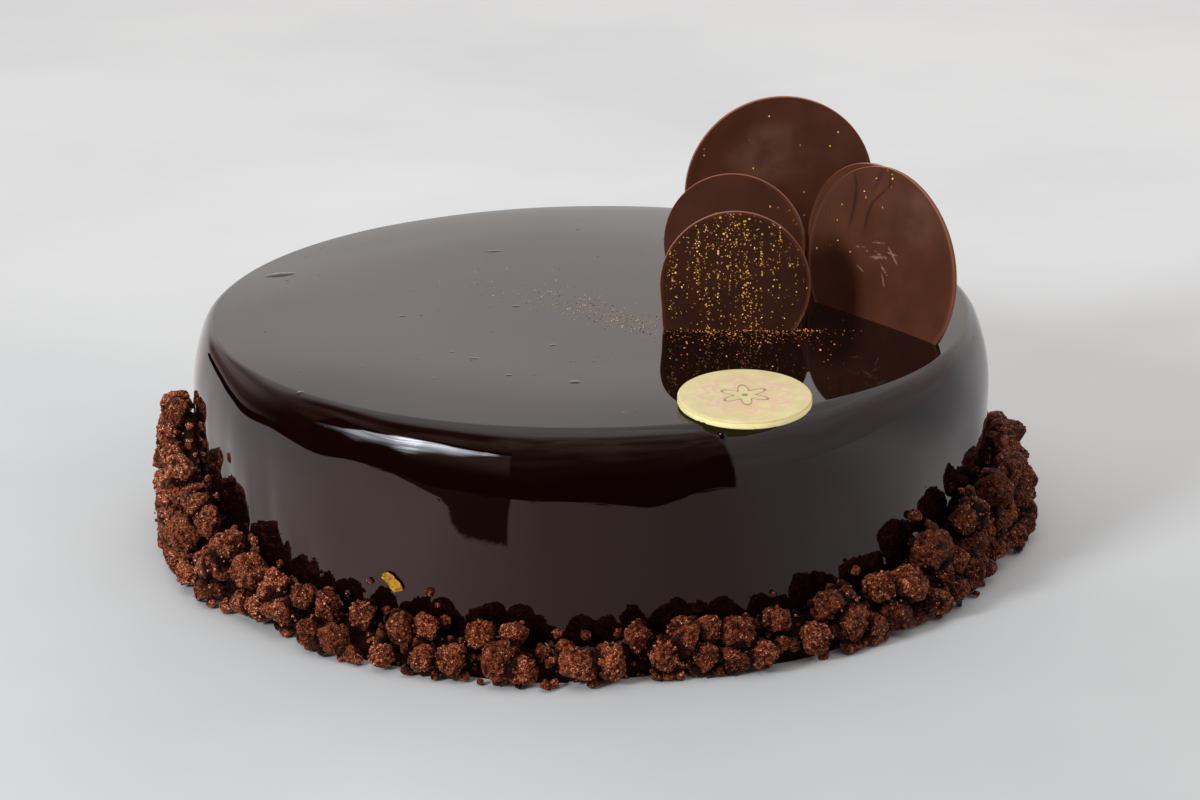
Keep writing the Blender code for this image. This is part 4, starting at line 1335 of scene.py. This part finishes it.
scatter("small_clumps", small_shapes, spots, 22, clumps)

GRAINS = 4200
GRAIN_SIZES = (0.00025, 0.00080)
BED_GRAINS = 1500
BED_GRAIN_SIZES = (0.0004, 0.0011)
GRAIN_SUNK = (0.66, 0.86)    # share of a clump's radius at which a grain sits


def ball(subdivisions):
    """Points and faces of a ball of unit radius."""
    build_mesh = bmesh.new()
    bmesh.ops.create_icosphere(build_mesh, subdivisions=subdivisions, radius=1.0)
    points = np.array([vert.co for vert in build_mesh.verts])
    faces = np.array([[vert.index for vert in face.verts] for face in build_mesh.faces])
    build_mesh.free()
    return points, faces


draw = random.Random(6)
ball_points, ball_faces = ball(1)
grain_shapes = []
for _ in range(6):
    points = np.array([point * draw.uniform(0.65, 1.0) for point in ball_points])
    grain_shapes.append((points, ball_faces, np.full(len(points), 0.8)))
spots = []
while len(spots) < GRAINS:
    centre, size = clumps[draw.randrange(len(clumps))]
    way = Vector((draw.gauss(0, 1), draw.gauss(0, 1), draw.gauss(0.4, 1))).normalized()
    out = Vector((centre.x, centre.y, 0.0)).normalized()
    if way.dot(out) < -0.3:
        continue
    spot = centre + way * size * draw.uniform(*GRAIN_SUNK)
    grain_size = GRAIN_SIZES[0] + (GRAIN_SIZES[1] - GRAIN_SIZES[0]) * draw.random() ** 2
    if spot.z > grain_size:
        spots.append((spot, grain_size))
bed_points = [vert.co.copy() for vert in crumb_bed.data.vertices]
for _ in range(BED_GRAINS):
    spots.append((draw.choice(bed_points), draw.uniform(*BED_GRAIN_SIZES)))
scatter("grains", grain_shapes, spots, 23)


# ---- Gold leaf ----------------------------------------------------------------------
# A crumpled flake of edible gold leaf clings to the glaze at the front left. It lies low
# on the side, and narrows to both ends.
LEAF_DIM = (0.22, 0.10, 0.004, 1.0)
LEAF_BRIGHT = (0.66, 0.35, 0.015, 1.0)
LEAF_ACROSS, LEAF_UP = 15, 10
LEAF_AZIMUTH = -118.4        # of its left end, in degrees
LEAF_DEGREES = 2.9
LEAF_LEVEL = 0.0205
LEAF_FALL = 0.0026           # its right end lies lower
LEAF_HEIGHT = 0.0042
LEAF_LIFT = 0.00035          # off the glaze
LEAF_FOLDS = 0.0004

leaf_material = gold("gold_leaf", LEAF_DIM, LEAF_BRIGHT, 0.6)
points = []
draw = random.Random(41)
for row in range(LEAF_UP):
    up = row / (LEAF_UP - 1)
    for column in range(LEAF_ACROSS):
        along = column / (LEAF_ACROSS - 1)
        narrow = math.sin(math.pi * min(max(along, 0.04), 0.96)) ** 0.6
        fold = noise.noise(Vector((along * 4.0, up * 3.0, 1.7)))
        azimuth = LEAF_AZIMUTH + LEAF_DEGREES * along + 0.25 * fold
        level = LEAF_LEVEL - LEAF_FALL * along + (up - 0.5) * LEAF_HEIGHT * narrow
        out = LEAF_LIFT + LEAF_FOLDS * abs(fold) + 0.0001 * draw.random()
        points.append(on_circle(CAKE_RADIUS + out, azimuth, level + LEAF_FOLDS * fold))
faces = [(row * LEAF_ACROSS + k, row * LEAF_ACROSS + k + 1, (row + 1) * LEAF_ACROSS + k + 1,
          (row + 1) * LEAF_ACROSS + k) for row in range(LEAF_UP - 1) for k in range(LEAF_ACROSS - 1)]
leaf = add_mesh("gold_leaf", points, faces, leaf_material, smooth=False)
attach(leaf, "root")


# ---- Glaze drops --------------------------------------------------------------------
# Glaze that ran down before it set hangs in a drop under the plaque, and has gathered in
# small pools between the clumps.
DROP_FINENESS = 3
# place and half sizes of each drop
DROPS = (
    ((0.0322, -0.1018, 0.0575), (0.0012, 0.0009, 0.0022)),
    ((-0.0520, -0.0980, 0.0095), (0.0012, 0.0011, 0.0026)),
    ((-0.0618, -0.0920, 0.0132), (0.0011, 0.0010, 0.0015)),
    ((-0.0240, -0.1084, 0.0078), (0.0022, 0.0013, 0.0012)),
    ((-0.0215, -0.1092, 0.0062), (0.0014, 0.0011, 0.0010)),
)
ball_points, ball_faces = ball(DROP_FINENESS)
points = np.concatenate([ball_points * np.array(size) + np.array(place) for place, size in DROPS])
faces = np.concatenate([ball_faces + k * len(ball_points) for k in range(len(DROPS))])
drops = add_mesh("glaze_drops", points, faces, glaze_material)
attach(drops, "root")


# ---- Yellow strand ------------------------------------------------------------------
# A thin thread, yellow like candied peel, has fallen between the clumps in front. It is
# thickest in the middle.
STRAND_TONE = (0.42, 0.25, 0.03, 1.0)
STRAND_SIDES = 6
# its middle line, and how thick it is there
STRAND = (
    ((-0.0118, -0.1115, 0.0078), 0.00012), ((-0.0100, -0.1122, 0.0060), 0.00028),
    ((-0.0084, -0.1130, 0.0040), 0.00026), ((-0.0076, -0.1138, 0.0022), 0.00010),
)
strand_material, tree, output = new_material("yellow_strand")
finish_surface(tree, output, {"Base Color": STRAND_TONE, "Roughness": 0.35})
points = [Vector(spot) + Vector((math.cos(a), 0.4 * math.sin(a), math.sin(a))) * thick
          for spot, thick in STRAND for a in np.linspace(0.0, math.tau, STRAND_SIDES, endpoint=False)]
faces = [(ring + k, ring + (k + 1) % STRAND_SIDES, ring + STRAND_SIDES + (k + 1) % STRAND_SIDES,
          ring + STRAND_SIDES + k)
         for ring in range(0, STRAND_SIDES * (len(STRAND) - 1), STRAND_SIDES)
         for k in range(STRAND_SIDES)]
strand = add_mesh("yellow_strand", points, faces, strand_material)
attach(strand, "root")
